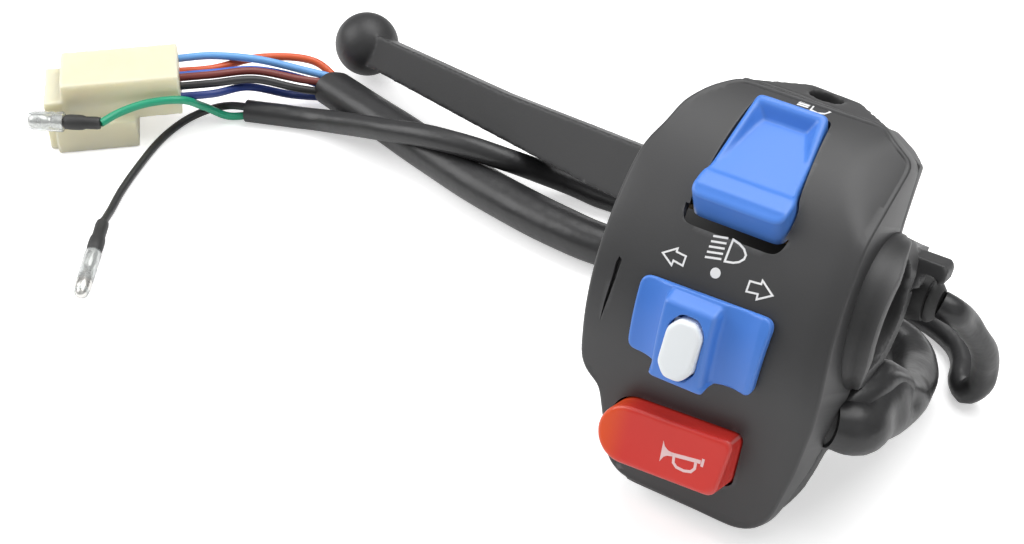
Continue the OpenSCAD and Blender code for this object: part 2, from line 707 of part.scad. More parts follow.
module connector_shell() {
  color([0.94, 0.92, 0.80]) translate([plug_c[0], plug_c[1], table_z]) rotate([0, 0, plug_a]) difference() {
    union() {
      box(-14.5, plug_end, -4.5, 11.2, 7, 17);
      box(-17, 3, -7, 9, 0, 8);
      box(-19, -14, -5, 11.2, 0, 13);
    }
    for (y = [-1.5, 1.7, 4.9, 8.1]) for (z = [2, 9.4]) box(-20, -8, y - 1.2, y + 1.2, z, z + 3);
  }
}

module connector_terminals() {
  color(brass) translate([plug_c[0], plug_c[1], table_z]) rotate([0, 0, plug_a])
    for (y = [-1.5, 1.7, 4.9, 8.1]) for (z = [2, 9.4]) box(-17, -8, y - 0.9, y + 0.9, z + 1.1, z + 1.9);
}

green_path = [[-157.6, 34.5, -43.4], [-161.8, 31.2, -43.3], [-164.8, 26, -38.5], [-165.7, 18.9, -32.7],
  [-171.5, 13.2, -32.5], [-175.5, 7, -33.3], [-177, 2, -34]];
black_path = [[-157.6, 34.5, -40.9], [-162.5, 32.9, -41.3], [-167.2, 30.6, -42.8], [-170.2, 25.5, -43.8],
  [-170.6, 19, -43.9], [-169.9, 13.1, -43.9], [-167.5, 3.6, -43.9], [-164.3, -6.5, -43.9],
  [-160.6, -14.8, -43.5], [-158, -20, -42.4]];
green_end = green_path[6];
black_end = black_path[9];
green_tip = [-193, -6.8, -34];
black_tip = [-144, -43, -42.4];

module green_wire() {
  color([0.15, 0.60, 0.42]) cord(green_path, wire_d, 8);
}

module black_wire() {
  color([0.06, 0.06, 0.06]) cord(black_path, wire_d, 8);
}

// Cylinder from one point to another
module bar(a, b, r) {
  v = b - a;
  translate(a) rotate([0, acos(v[2] / norm(v)), atan2(v[1], v[0])]) cylinder(r = r, h = norm(v));
}

function between(a, b, s) = a + (b - a) * s;

module crimp_sleeves() {
  color([0.06, 0.06, 0.06]) {
    bar(green_end, between(green_end, green_tip, 0.5), 1.9);
    bar(black_end, between(black_end, black_tip, 0.42), 1.9);
  }
}

module bullet(a, b) {
  color(steel) union() {
    bar(a, between(a, b, 0.55), 1.7);
    bar(between(a, b, 0.5), between(a, b, 0.7), 1.3);
    bar(between(a, b, 0.65), b, 1.9);
  }
}

module bullet_terminals() {
  bullet(between(green_end, green_tip, 0.5), green_tip);
  bullet(between(black_end, black_tip, 0.42), black_tip);
}

module sheath(a, b) {
  color([0.88, 0.90, 0.90]) difference() {
    bar(a, b, 2.5);
    bar(a - (b - a), b + (b - a), 1.95);
  }
}

module clear_sleeves() {
  sheath(between(green_end, green_tip, 0.51), between(green_end, green_tip, 0.97));
  sheath(between(black_end, black_tip, 0.43), between(black_end, black_tip, 0.97));
}

front_shell();
rear_shell();
housing_screws();
dip_rocker();
dip_plunger();
dip_pin();
dip_base();
dip_contacts();
indicator_slider();
slider_carriage();
cancel_button();
cancel_spring();
indicator_base();
indicator_contacts();
horn_button();
horn_spring();
horn_base();
horn_contact();
horn_bridge();
brake_lever();
lever_bush();
pivot_bolt();
pivot_nut();
brake_switch_body();
switch_plunger();
plunger_spring();
switch_boot();
harness_grommet();
main_sleeve();
brake_lead_sleeve();
wire_red();
wire_light_blue();
wire_blue();
wire_brown();
wire_black();
wire_dark_blue();
connector_shell();
connector_terminals();
green_wire();
black_wire();
crimp_sleeves();
bullet_terminals();
clear_sleeves();
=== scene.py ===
# Handlebar switch cluster: modelled skins, finishes, signs, wiring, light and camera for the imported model.
# Lengths are written in millimetres, in the row frame, or in the housing's own leaning frame where a
# function says so. mm() and lean() turn them into metres.
import json
import math

import bmesh
import bpy
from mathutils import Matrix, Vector


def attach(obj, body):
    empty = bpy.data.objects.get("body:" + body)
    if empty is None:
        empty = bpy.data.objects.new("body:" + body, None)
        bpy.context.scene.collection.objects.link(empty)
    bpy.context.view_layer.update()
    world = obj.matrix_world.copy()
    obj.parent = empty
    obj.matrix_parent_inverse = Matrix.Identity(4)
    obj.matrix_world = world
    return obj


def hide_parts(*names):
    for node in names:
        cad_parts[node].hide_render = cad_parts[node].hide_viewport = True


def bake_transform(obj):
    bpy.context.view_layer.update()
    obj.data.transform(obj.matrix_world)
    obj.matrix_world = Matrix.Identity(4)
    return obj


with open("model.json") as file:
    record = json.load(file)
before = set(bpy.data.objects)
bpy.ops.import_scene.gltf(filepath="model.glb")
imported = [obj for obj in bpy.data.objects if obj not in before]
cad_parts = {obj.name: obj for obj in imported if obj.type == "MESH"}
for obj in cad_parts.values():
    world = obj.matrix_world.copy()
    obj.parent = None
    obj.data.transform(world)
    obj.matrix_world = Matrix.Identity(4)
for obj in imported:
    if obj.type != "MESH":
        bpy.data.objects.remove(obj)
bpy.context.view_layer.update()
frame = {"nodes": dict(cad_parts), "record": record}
nodes = frame["nodes"]
scene = bpy.context.scene

LEAN = math.radians(35)
TABLE = -45.0


def mm(x, y, z):
    return Vector((x, y, z)) * 0.001


def lean(x, y, z):
    """A point of the housing's own frame, in the row frame, in metres."""
    return mm(x, y * math.cos(LEAN) + z * math.sin(LEAN), z * math.cos(LEAN) - y * math.sin(LEAN))


# Finishes

def group_of(name, inputs, outputs):
    g = bpy.data.node_groups.new(name, "ShaderNodeTree")
    for label, kind, value in inputs:
        s = g.interface.new_socket(label, in_out="INPUT", socket_type=kind)
        s.default_value = value
    for label, kind in outputs:
        g.interface.new_socket(label, in_out="OUTPUT", socket_type=kind)
    return g, g.nodes.new("NodeGroupInput"), g.nodes.new("NodeGroupOutput")


def moulded_grain():
    """Fine tooling grain as a height, and a slow cloudy tone for colour and gloss."""
    g, gin, gout = group_of(
        "Moulded grain",
        [("Grain per metre", "NodeSocketFloat", 2500.0), ("Cloud per metre", "NodeSocketFloat", 60.0)],
        [("Height", "NodeSocketFloat"), ("Tone", "NodeSocketFloat")])
    where = g.nodes.new("ShaderNodeTexCoord")
    fine = g.nodes.new("ShaderNodeTexNoise")
    fine.inputs["Detail"].default_value = 2.0
    cloud = g.nodes.new("ShaderNodeTexNoise")
    cloud.inputs["Detail"].default_value = 4.0
    g.links.new(where.outputs["Object"], fine.inputs["Vector"])
    g.links.new(where.outputs["Object"], cloud.inputs["Vector"])
    g.links.new(gin.outputs["Grain per metre"], fine.inputs["Scale"])
    g.links.new(gin.outputs["Cloud per metre"], cloud.inputs["Scale"])
    g.links.new(fine.outputs["Fac"], gout.inputs["Height"])
    g.links.new(cloud.outputs["Fac"], gout.inputs["Tone"])
    return g


def painted_edge_highlight():
    """Painted highlight: lightens a colour along outer edges, where light catches the rounded rims of a
    moulding.
    """
    g, gin, gout = group_of(
        "Painted edge highlight",
        [("Color", "NodeSocketColor", (1, 1, 1, 1)), ("Lift", "NodeSocketFloat", 0.2)],
        [("Color", "NodeSocketColor")])
    shape = g.nodes.new("ShaderNodeNewGeometry")
    edge = g.nodes.new("ShaderNodeMapRange")
    edge.inputs["From Min"].default_value = 0.52
    edge.inputs["From Max"].default_value = 0.62
    amount = g.nodes.new("ShaderNodeMath")
    amount.operation = "MULTIPLY"
    blend = g.nodes.new("ShaderNodeMix")
    blend.data_type = "RGBA"
    blend.inputs["B"].default_value = (0.75, 0.75, 0.75, 1)
    g.links.new(shape.outputs["Pointiness"], edge.inputs["Value"])
    g.links.new(edge.outputs["Result"], amount.inputs[0])
    g.links.new(gin.outputs["Lift"], amount.inputs[1])
    g.links.new(amount.outputs["Value"], blend.inputs["Factor"])
    g.links.new(gin.outputs["Color"], blend.inputs["A"])
    g.links.new(blend.outputs["Result"], gout.inputs["Color"])
    return g


GRAIN = moulded_grain()
EDGE_HIGHLIGHT = painted_edge_highlight()


def finish_of(name, low, high, gloss, grain=2500.0, cloud=60.0, bump=0.08, deep=0.00004, edge_highlight=0.0,
              end=None, **sockets):
    """A finish whose colour runs between low and high, and whose roughness between the two of gloss. The
    edge amount lightens its edges as a painted highlight, end is (x where it starts, x where it is full,
    colour) of an end painted with the glow of light through the moulding, and sockets are values of the
    shader's other sockets."""
    mat = bpy.data.materials.new(name)
    mat.use_nodes = True
    t = mat.node_tree
    shader = t.nodes["Principled BSDF"]
    g = t.nodes.new("ShaderNodeGroup")
    g.node_tree = GRAIN
    g.inputs["Grain per metre"].default_value = grain
    g.inputs["Cloud per metre"].default_value = cloud
    tint = t.nodes.new("ShaderNodeMix")
    tint.data_type = "RGBA"
    tint.inputs["A"].default_value = (*low, 1)
    tint.inputs["B"].default_value = (*high, 1)
    t.links.new(g.outputs["Tone"], tint.inputs["Factor"])
    colour = tint.outputs["Result"]
    # Painted glow of light through the moulding: the colour turns toward the end colour along x.
    if end:
        where = t.nodes.new("ShaderNodeTexCoord")
        split = t.nodes.new("ShaderNodeSeparateXYZ")
        span = t.nodes.new("ShaderNodeMapRange")
        span.interpolation_type = "SMOOTHSTEP"
        span.inputs["From Min"].default_value = end[0] * 0.001
        span.inputs["From Max"].default_value = end[1] * 0.001
        mix = t.nodes.new("ShaderNodeMix")
        mix.data_type = "RGBA"
        mix.inputs["B"].default_value = (*end[2], 1)
        t.links.new(where.outputs["Object"], split.inputs["Vector"])
        t.links.new(split.outputs["X"], span.inputs["Value"])
        t.links.new(span.outputs["Result"], mix.inputs["Factor"])
        t.links.new(colour, mix.inputs["A"])
        colour = mix.outputs["Result"]
    # Painted highlight: the colour is lightened along the outer edges.
    if edge_highlight:
        edges = t.nodes.new("ShaderNodeGroup")
        edges.node_tree = EDGE_HIGHLIGHT
        edges.inputs["Lift"].default_value = edge_highlight
        t.links.new(colour, edges.inputs["Color"])
        colour = edges.outputs["Color"]
    t.links.new(colour, shader.inputs["Base Color"])
    rough = t.nodes.new("ShaderNodeMapRange")
    rough.inputs["From Min"].default_value = 0.3
    rough.inputs["From Max"].default_value = 0.7
    rough.inputs["To Min"].default_value = gloss[0]
    rough.inputs["To Max"].default_value = gloss[1]
    t.links.new(g.outputs["Tone"], rough.inputs["Value"])
    t.links.new(rough.outputs["Result"], shader.inputs["Roughness"])
    b = t.nodes.new("ShaderNodeBump")
    b.inputs["Strength"].default_value = bump
    b.inputs["Distance"].default_value = deep
    t.links.new(g.outputs["Height"], b.inputs["Height"])
    t.links.new(b.outputs["Normal"], shader.inputs["Normal"])
    for socket, value in sockets.items():
        shader.inputs[socket.replace("_", " ")].default_value = value
    return mat


WIRE_GLOSS = (0.3, 0.4)
# The amounts that lighten edges below are painted highlights.
FINISH = {
    "housing_plastic": finish_of("charcoal moulding", (0.030, 0.030, 0.031), (0.040, 0.040, 0.041),
                                 (0.42, 0.52), bump=0.2, deep=0.00005, edge_highlight=0.10),
    "cast_black": finish_of("black casting", (0.020, 0.020, 0.021), (0.030, 0.030, 0.031), (0.40, 0.54),
                            grain=1500.0, bump=0.25, deep=0.00006, edge_highlight=0.12),
    "steel": finish_of("zinc plate", (0.60, 0.60, 0.58), (0.72, 0.72, 0.71), (0.28, 0.40), Metallic=1.0),
    "blue_plastic": finish_of("blue moulding", (0.052, 0.190, 0.63), (0.066, 0.220, 0.69), (0.30, 0.40),
                              bump=0.06, edge_highlight=0.10),
    "white_plastic": finish_of("white moulding", (0.80, 0.84, 0.86), (0.84, 0.87, 0.89), (0.30, 0.38),
                               bump=0.05),
    # The red key's orange grip-side end is a painted glow of light through the red plastic.
    "red_plastic": finish_of("red moulding", (0.60, 0.030, 0.022), (0.66, 0.04, 0.030), (0.28, 0.36),
                             bump=0.05, edge_highlight=0.18, end=(-8, -14, (0.72, 0.075, 0.012))),
    "phenolic": finish_of("brown carrier", (0.26, 0.16, 0.07), (0.34, 0.22, 0.10), (0.5, 0.65)),
    "brass": finish_of("brass strip", (0.72, 0.52, 0.20), (0.80, 0.60, 0.26), (0.25, 0.40), Metallic=1.0),
    "tinned_brass": finish_of("tinned bullet", (0.66, 0.65, 0.62), (0.78, 0.77, 0.74), (0.22, 0.36),
                              cloud=400.0, Metallic=1.0),
    "black_rubber": finish_of("black rubber", (0.018, 0.018, 0.018), (0.026, 0.026, 0.026), (0.5, 0.62),
                              edge_highlight=0.06),
    "vinyl": finish_of("vinyl sleeve", (0.018, 0.018, 0.019), (0.030, 0.030, 0.031), (0.30, 0.42),
                       grain=260.0, cloud=90.0, bump=0.35, deep=0.0005),
    "ivory_nylon": finish_of("ivory nylon", (0.71, 0.66, 0.475), (0.76, 0.72, 0.545), (0.36, 0.48),
                             bump=0.05, Subsurface_Weight=0.7, Subsurface_Scale=0.006,
                             Subsurface_Radius=(1.0, 0.9, 0.65)),
    "wire_red": finish_of("red wire", (0.62, 0.08, 0.02), (0.70, 0.12, 0.03), WIRE_GLOSS),
    "wire_light_blue": finish_of("light blue wire", (0.13, 0.36, 0.75), (0.18, 0.42, 0.80), WIRE_GLOSS),
    "wire_blue": finish_of("blue wire", (0.04, 0.13, 0.55), (0.05, 0.17, 0.60), WIRE_GLOSS),
    "wire_brown": finish_of("brown wire", (0.16, 0.03, 0.025), (0.22, 0.04, 0.03), WIRE_GLOSS),
    "wire_dark_blue": finish_of("dark blue wire", (0.012, 0.03, 0.16), (0.02, 0.045, 0.21), WIRE_GLOSS),
    "wire_green": finish_of("green wire", (0.01, 0.30, 0.16), (0.02, 0.36, 0.20), WIRE_GLOSS),
    "clear_vinyl": finish_of("clear vinyl", (0.86, 0.88, 0.88), (0.90, 0.92, 0.92), (0.12, 0.2), IOR=1.4,
                             Transmission_Weight=0.85),
}
SIGN_INK = finish_of("sign ink", (0.74, 0.74, 0.74), (0.80, 0.80, 0.80), (0.5, 0.6), bump=0.1)
HORN_INK = finish_of("sign ink on red", (0.78, 0.52, 0.52), (0.84, 0.60, 0.60), (0.4, 0.5), bump=0.1)

for part in frame["record"]["subparts"]:
    solid = nodes[part["node"]]
    solid.data.materials.clear()
    solid.data.materials.append(FINISH[part["material_slot"]])


# Shaping tools

def ease(t):
    t = min(max(t, 0.0), 1.0)
    return t * t * (3 - 2 * t)


def arc(cx, cz, r, a0, a1, n):
    """Points of an arc in degrees, both ends included."""
    turns = [math.radians(a0 + (a1 - a0) * k / n) for k in range(n + 1)]
    return [(cx + r * math.cos(a), cz + r * math.sin(a)) for a in turns]


def ring_family(corners_at, step, rounds):
    """A function of an inset: the loop through corners_at(inset) in points about a step apart, with its
    corners eased in so many rounds. Every loop of a family has the same number of points."""
    first = corners_at(0)
    counts = [max(1, round(math.dist(a, b) / step)) for a, b in zip(first, first[1:] + first[:1])]

    def ring(inset):
        corners = corners_at(inset)
        loop = []
        for a, b, n in zip(corners, corners[1:] + corners[:1], counts):
            loop += [(a[0] + (b[0] - a[0]) * i / n, a[1] + (b[1] - a[1]) * i / n) for i in range(n)]
        for _ in range(rounds):
            after = loop[1:] + loop[:1]
            before = loop[-1:] + loop[:-1]
            loop = [((p[0] + 2 * q[0] + r[0]) / 4, (p[1] + 2 * q[1] + r[1]) / 4)
                    for p, q, r in zip(before, loop, after)]
        return loop
    return ring


def bridge(bm, loops, closed=False):
    """Faces between loops of vertices that follow one another."""
    for a, b in zip(loops, loops[1:] + (loops[:1] if closed else [])):
        for i in range(len(a)):
            j = (i + 1) % len(a)
            bm.faces.new((a[i], a[j], b[j], b[i]))


def crowned_solid(ring, top, base, fillet, cell, steps=5):
    """A closed solid over an outline in x and z: the surface y = top(x, z), a rounded rim, and straight
    sides down to y = base."""
    bm = bmesh.new()
    crest = [top(x, z) for x, z in ring(fillet)]
    reach = [min(fillet, 0.8 * (base - c)) for c in crest]
    loops = [[bm.verts.new((x, base, z)) for x, z in ring(0)]]
    for k in range(steps + 1):
        a = math.pi / 2 * k / steps
        loops.append([bm.verts.new((x, c + r * (1 - math.sin(a)), z)) for (x, z), c, r
                      in zip(ring(fillet * (1 - math.cos(a))), crest, reach)])
    bridge(bm, loops)
    bm.faces.new(loops[0])
    for v in loops[-1]:
        v.co.y = 0
    lid = bm.faces.new(loops[-1])
    geom = [lid] + list(lid.edges) + list(lid.verts)
    for axis in (0, 2):
        line = [v.co[axis] for v in loops[-1]]
        count = int((max(line) - min(line)) / cell)
        for k in range(1, count + 1):
            at, across = Vector((0, 0, 0)), Vector((0, 0, 0))
            at[axis] = min(line) + (max(line) - min(line)) * k / (count + 1)
            across[axis] = 1
            geom = bmesh.ops.bisect_plane(bm, geom=geom, dist=1e-4, plane_co=at, plane_no=across)["geom"]
    for v in {v for g in geom if isinstance(g, bmesh.types.BMFace) for v in g.verts}:
        v.co.y = top(v.co.x, v.co.z)
    return bm


def prism(points, lo, hi, place):
    """A straight solid over points in x and z, from y = lo to y = hi, set by place."""
    bm = bmesh.new()
    ends = [[bm.verts.new(place(x, y, z)) for x, z in points] for y in (lo, hi)]
    bridge(bm, ends)
    for end in ends:
        bm.faces.new(end)
    return bm


def lathe(profile, sides, place, hollow=False):
    """A turned solid from a profile of distances along its axis and radii, set by place."""
    bm = bmesh.new()
    turns = [2 * math.pi * k / sides for k in range(sides)]
    loops = [[bm.verts.new(place(t, r * math.cos(a), r * math.sin(a))) for a in turns] for t, r in profile]
    bridge(bm, loops, closed=hollow)
    if not hollow:
        bm.faces.new(loops[0])
        bm.faces.new(loops[-1])
    return bm


def plain(x, y, z):
    return (x, y, z)


def on_face(x, y, z, turn):
    """Sets a local shape at a point of the housing's own frame, turned about the x axis."""
    c, s = math.cos(math.radians(turn)), math.sin(math.radians(turn))
    return lambda a, b, d: (x + a, y + b * c - d * s, z + b * s + d * c)


def along(a, b):
    """Sets a turned shape between two points of the row frame, in metres. Its axis runs from 0 to 1."""
    a, b = Vector(a), Vector(b)
    t = (b - a).normalized()
    n = t.cross(Vector((0, 0, 1))).normalized()
    w = t.cross(n)
    return lambda s, u, v: (a + (b - a) * s + n * u + w * v) * 0.001


def reshape(bm, place):
    for v in bm.verts:
        v.co = place(*v.co)
    return bm


def blank(bm):
    """A work object from a mesh in hand."""
    bmesh.ops.recalc_face_normals(bm, faces=bm.faces)
    me = bpy.data.meshes.new("work")
    bm.to_mesh(me)
    bm.free()
    o = bpy.data.objects.new("work", me)
    scene.collection.objects.link(o)
    return o


def settle(o):
    """Makes what the modifiers of a work object show its own mesh."""
    old = o.data
    shown = bpy.data.meshes.new_from_object(o.evaluated_get(bpy.context.evaluated_depsgraph_get()))
    o.modifiers.clear()
    o.data = shown
    bpy.data.meshes.remove(old)


def copy_of(node):
    """A work object with a copy of a CAD node's mesh."""
    o = bpy.data.objects.new("work", nodes[node].data.copy())
    scene.collection.objects.link(o)
    return o


def discard(o):
    spare = o.data
    bpy.data.objects.remove(o)
    bpy.data.meshes.remove(spare)


def carve(o, bm, how="DIFFERENCE"):
    """Cuts a mesh in hand out of a work object, or joins it, or keeps what they share."""
    tool = blank(bm)
    m = o.modifiers.new("carve", "BOOLEAN")
    m.operation = how
    m.solver = "EXACT"
    m.object = tool
    settle(o)
    discard(tool)


def gather(into, part):
    """Adds one mesh in hand to another."""
    me = bpy.data.meshes.new("work")
    part.to_mesh(me)
    part.free()
    into.from_mesh(me)
    bpy.data.meshes.remove(me)


def cast_copy(node, voxel, rounds):
    """A copy of a CAD node with its edges softened as moulding or casting leaves them."""
    o = copy_of(node)
    m = o.modifiers.new("remesh", "REMESH")
    m.mode = "VOXEL"
    m.voxel_size = voxel * 0.001
    s = o.modifiers.new("soften", "SMOOTH")
    s.factor = 0.5
    s.iterations = rounds
    settle(o)
    return o


def dress(o, name, finish, body, node=None, place=None, smooth=35, ink=None):
    """Names a work object as a piece, gives it its finish and body, and lets it stand for a CAD node. A body
    of four, two bodies and the points where the piece would leave the first and join the second, is not
    used: the piece is then joined to no body."""
    me = o.data
    if place:
        for v in me.vertices:
            v.co = place(*v.co)
    o.name = me.name = name
    me.shade_smooth()
    me.set_sharp_from_angle(angle=math.radians(smooth))
    me.materials.clear()
    me.materials.append(ink or FINISH[finish])
    if isinstance(body, str):
        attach(o, body)
    else:
        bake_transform(o)
    if node:
        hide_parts(node)
    return o


# Housing

# Reach of the housing from the bar's middle to the grip side, inboard, up and down
LEFT, RIGHT, TOP, CHIN = 23.7, 25.5, 33.6, 49.1
# Foremost point of the face, radii of its upper and lower arcs, and start and tilt of its flat chin
NOSE_Y, NOSE_Z = 22.3, -2.0
R_TOP, R_LOW = 40.0, 38.0
FLANK_Y, FLANK_Z, FLANK_TURN = -17.209, -21.0, 30
# A point of the inboard facet, its rise along x and z, and how softly it meets the face
FACET_AT = (16.4, -10.06, 26.8)
FACET_RISE = (0.371 / 0.670, 0.643 / 0.670)
FACET_SOFT = 1.2
# Thickness of the wall, and radius of the rolled rim
WALL = 2.5
RIM = 0.9
# Bores for the bar in the shell and the collar, the grommet's hole, and the gap round the keys
BAR_BORE, COLLAR_BORE = 11.2, 12
GROMMET_Y, GROMMET_Z, GROMMET_R = 2.2, -22.5, 5.4
KEY_GAP = 0.4


def housing_corners(i):
    """Outline of the housing as the rider sees it, set in by i."""
    return ([(15.1 - 0.2 * i, TOP - i), (-15.0 + 0.5 * i, TOP - i), (-18.8 + 0.7 * i, 30.4 - 0.7 * i),
             (-21.3 + 0.9 * i, 26.4 - 0.4 * i)]
            + arc(15 - LEFT, 14, 15 - i, 152, 180, 8)
            + arc(5.6 - LEFT, -25.4, 5.6 - i, 180, 262, 8)
            + [(-18.8 + i, -32.6 - 0.2 * i)]
            + arc(-10.0, 7.0 - CHIN, 6.5 - i, 180, 270, 8)
            + arc(12.3, 8.6 - CHIN, 8.6 - i, 270, 345, 10)
            + [(23.3 - i, -33), (RIGHT - 0.3 - i, -22), (RIGHT - i, -17),
               (RIGHT - 2 - i, TOP - 5.1 - 0.4 * i)])


HOUSING_RING = ring_family(housing_corners, 0.8, 5)


def face(x, z):
    """Depth of the front surface: two arcs and a flat chin, a soft facet inboard, and rolled edges."""
    if z > NOSE_Z:
        y = R_TOP - NOSE_Y - math.sqrt(R_TOP**2 - (z - NOSE_Z)**2)
    elif z > FLANK_Z:
        y = R_LOW - NOSE_Y - math.sqrt(R_LOW**2 - (z - NOSE_Z)**2)
    else:
        y = FLANK_Y + (FLANK_Z - z) * math.tan(math.radians(FLANK_TURN))
    facet = FACET_AT[1] + FACET_RISE[0] * (x - FACET_AT[0]) + FACET_RISE[1] * (z - FACET_AT[2])
    soft = max(FACET_SOFT - abs(y - facet), 0) / FACET_SOFT
    y = max(y, facet) + soft * soft * 0.3
    inboard = max(0.0, (x - 20.0) / 5.5)
    gripside = max(0.0, (-x - 19.0) / 4.7)
    return y + 1.3 * inboard**2 + 0.2 * gripside**2


def front_collar():
    """Half ring round the handlebar on the inboard side, its end slanting out to a longer lip."""
    bm = bmesh.new()
    loops = []
    for k in range(37):
        a = math.radians(-90 + 5 * k)
        front = math.cos(a) * 1.25
        reach = 1.5 + 2.9 * min(1.0, front) + 0.3 * max(0.0, front - 1)
        profile = [(-2.0, 15.7), (0.0, 15.5), (0.2 * reach, 15.15), (0.45 * reach, 15.0), (reach - 0.7, 15),
                   (reach - 0.2, 14.8), (reach, 14.4), (reach, 12.5), (reach - 0.15, 12.15),
                   (reach - 0.6, 11.9), (-2.0, 11.9)]
        loops.append([bm.verts.new((RIGHT + x, -r * math.cos(a), r * math.sin(a))) for x, r in profile])
    bridge(bm, loops)
    bm.faces.new(loops[0])
    bm.faces.new(loops[-1])
    return bm


def rod_x(lo, hi, y, z, r, sides=72):
    """A round bar along x."""
    return lathe([(lo, r), (hi, r)], sides, lambda t, u, v: (t, y + u, z + v))


# Tilts of the controls about the x axis in degrees, and x of the rocker's and the knob's middle
ROCKER_TURN, SLIDE_TURN, KNOB_TURN, HORN_TURN = -39.6, 17.0, 19.6, 12
MIDDLE = -0.7
ON_ROCKER = on_face(MIDDLE, -14.85, 22.2, ROCKER_TURN)
ON_HORN = on_face(0, -15.018, -36.4, HORN_TURN)
ON_KNOB = on_face(MIDDLE, R_LOW - NOSE_Y - R_LOW * math.cos(math.radians(KNOB_TURN)),
                  NOSE_Z - R_LOW * math.sin(math.radians(KNOB_TURN)), KNOB_TURN)


def on_slide(x, y, z):
    """Bends a flat shape round the lower face: z runs up the face, and y into the housing."""
    a = math.radians(SLIDE_TURN) - z / R_LOW
    r = R_LOW - y
    return (x, R_LOW - NOSE_Y - r * math.cos(a), NOSE_Z - r * math.sin(a))


def on_horn(x, y, z):
    """Sets the horn key, whose upper side slopes out to a broader foot."""
    return ON_HORN(x, y, z * (1 + 0.17 * ease(y / 4.5)) if z > 0 else z)


def rocker_corners(i):
    """Outline of the dip rocker, set in by i."""
    return [(6.6 - i, 12.9 - i), (9.6 - i, -7.4), (10.5 - i, -8.8 - i), (10.5 - i, -13.4 + i),
            (9.6 - i, -14.6 + 2 * i), (i - 7.9, -14.6 + 2 * i), (i - 8.7, -13.4 + i), (i - 8.7, -8.8 - i),
            (i - 8.3, -7.4), (i - 8.3, 12.9 - i)]


def horn_corners(i):
    """Outline of the horn key, set in by i."""
    return (arc(-9.2, -1.4, 5.95 - i, 94, 266, 16)
            + [(10.2 - i, i - 6.2), (11.3 - i, i - 5.0), (12.2 - i, 4.8 - i), (11.4 - i, 5.9 - i)])


def slide_corners(i):
    """Outline of the indicator slide, set in by i."""
    r = 1.7 - i
    return (arc(-11.3, 5.8, r, 180, 90, 4) + arc(12.4, 6.3, r, 90, 0, 4) + arc(11.6, -6.0, r, 0, -90, 4)
            + [(4.8 - i, i - 7.9), (4.8 - i, i - 9.3), (i - 6.6, i - 9.3), (i - 6.6, i - 8.2)]
            + arc(-11.3, -6.2, r, 270, 180, 4))


def knob_corners(i):
    """Outline of the cancel knob, set in by i."""
    a, b, up = 3.6 - i, 6.3 - i, 5.7 - i
    loop = [(-a + 1.9, up), (a - 1.9, up), (a, up - 2.2), (a, 2.4 - b), (a - 1.9, -b), (1.9 - a, -b),
            (-a, 2.4 - b), (-a, up - 2.2)]
    return [(x + 0.06 * z, z) for x, z in loop]


ROCKER_RING = ring_family(rocker_corners, 0.5, 8)
HORN_RING = ring_family(horn_corners, 0.5, 3)
SLIDE_RING = ring_family(slide_corners, 0.4, 6)
KNOB_RING = ring_family(knob_corners, 0.3, 9)


def front_half():
    """The front moulding: its crowned skin and collar, hollowed, with a window for each key and a slit."""
    shell = blank(crowned_solid(HOUSING_RING, face, 0.0, RIM, 1.2))
    carve(shell, front_collar(), "UNION")
    carve(shell, crowned_solid(lambda i: HOUSING_RING(WALL + i), lambda x, z: face(x, z) + WALL, 4.0, 0.6,
                               3.0, 2))
    carve(shell, rod_x(-LEFT - 2, RIGHT - 4, 0, 0, BAR_BORE))
    carve(shell, rod_x(RIGHT - 5, RIGHT + 9, 0, 0, COLLAR_BORE))
    # The rocker's window, and room below it for the rocker's lip as it swings in
    for inset, down, lo, hi in ((-KEY_GAP, 0, -6, 9), (-KEY_GAP, 0.25, -6, 9), (-1.0, 0.7, 3.9, 9.5)):
        carve(shell, prism([(x, z - down) for x, z in ROCKER_RING(inset)], lo, hi, ON_ROCKER))
    carve(shell, prism(HORN_RING(-KEY_GAP), -4, 16, on_horn))
    carve(shell, prism([(-7.2, -3.65), (7.2, -3.65), (7.2, 3.65), (-7.2, 3.65)], -3, 4, on_slide))
    carve(shell, rod_x(RIGHT - 6, RIGHT + 4, GROMMET_Y, GROMMET_Z, GROMMET_R))
    slit = [(-18.9, -4.8), (-18.2, -5.3), (-18.4, -9), (-18.9, -13), (-19.9, -18.4), (-19.6, -14),
            (-19.2, -9.5), (-19.2, -6)]
    carve(shell, prism(slit, -1.5, 1.3, lambda x, y, z: (x, face(x, z) + y, z)))
    dress(shell, "front_moulding", "housing_plastic", "housing", "front_shell", lean)


# x where the guide hook leaves the rear half
HOOK_ROOT = 24.2


def rear_half():
    """The rear casting, drawn a little to the photographed outline: its top, its inboard chin, and the
    guide hook, whose upper face tips forward."""
    o = cast_copy("rear_shell", 0.5, 4)
    c, s = math.cos(LEAN), math.sin(LEAN)
    for v in o.data.vertices:
        x, y, z = v.co.x * 1000, (v.co.y * c - v.co.z * s) * 1000, (v.co.y * s + v.co.z * c) * 1000
        lift = 0.8 * (1 - ease((x + 8) / 24)) * ease((z - 27) / 5) + 0.9 * ease((-40 - z) / 8)
        if x > HOOK_ROOT and 5 < z < 16 and y > 12:
            lift += ease((x - HOOK_ROOT) / 1.2) * (0.35 * (y - 14) - 1.65)
            x -= 0.9 * ease((x - HOOK_ROOT) / 6)
        x += 0.9 * ease((-24 - z) / 6) * (1 - ease((-37 - z) / 7)) * ease((x - 6) / 8)
        v.co = lean(x, y, z + lift)
    ear_corner = prism([(15.0, 13.0), (24.6, 13.0), (24.6, 20), (15.0, 20)], 11.5, 40, plain)
    carve(o, reshape(ear_corner, lean))
    dress(o, "rear_casting", "housing_plastic", "housing", "rear_shell")


# Controls

# z where the rocker's ramp meets its lip, and where the lip rounds off
ROCKER_STEP, LIP_EDGE = -7.4, -11.9
# Length of the post that joins a modelled key to its CAD key
POST_LENGTH = 14


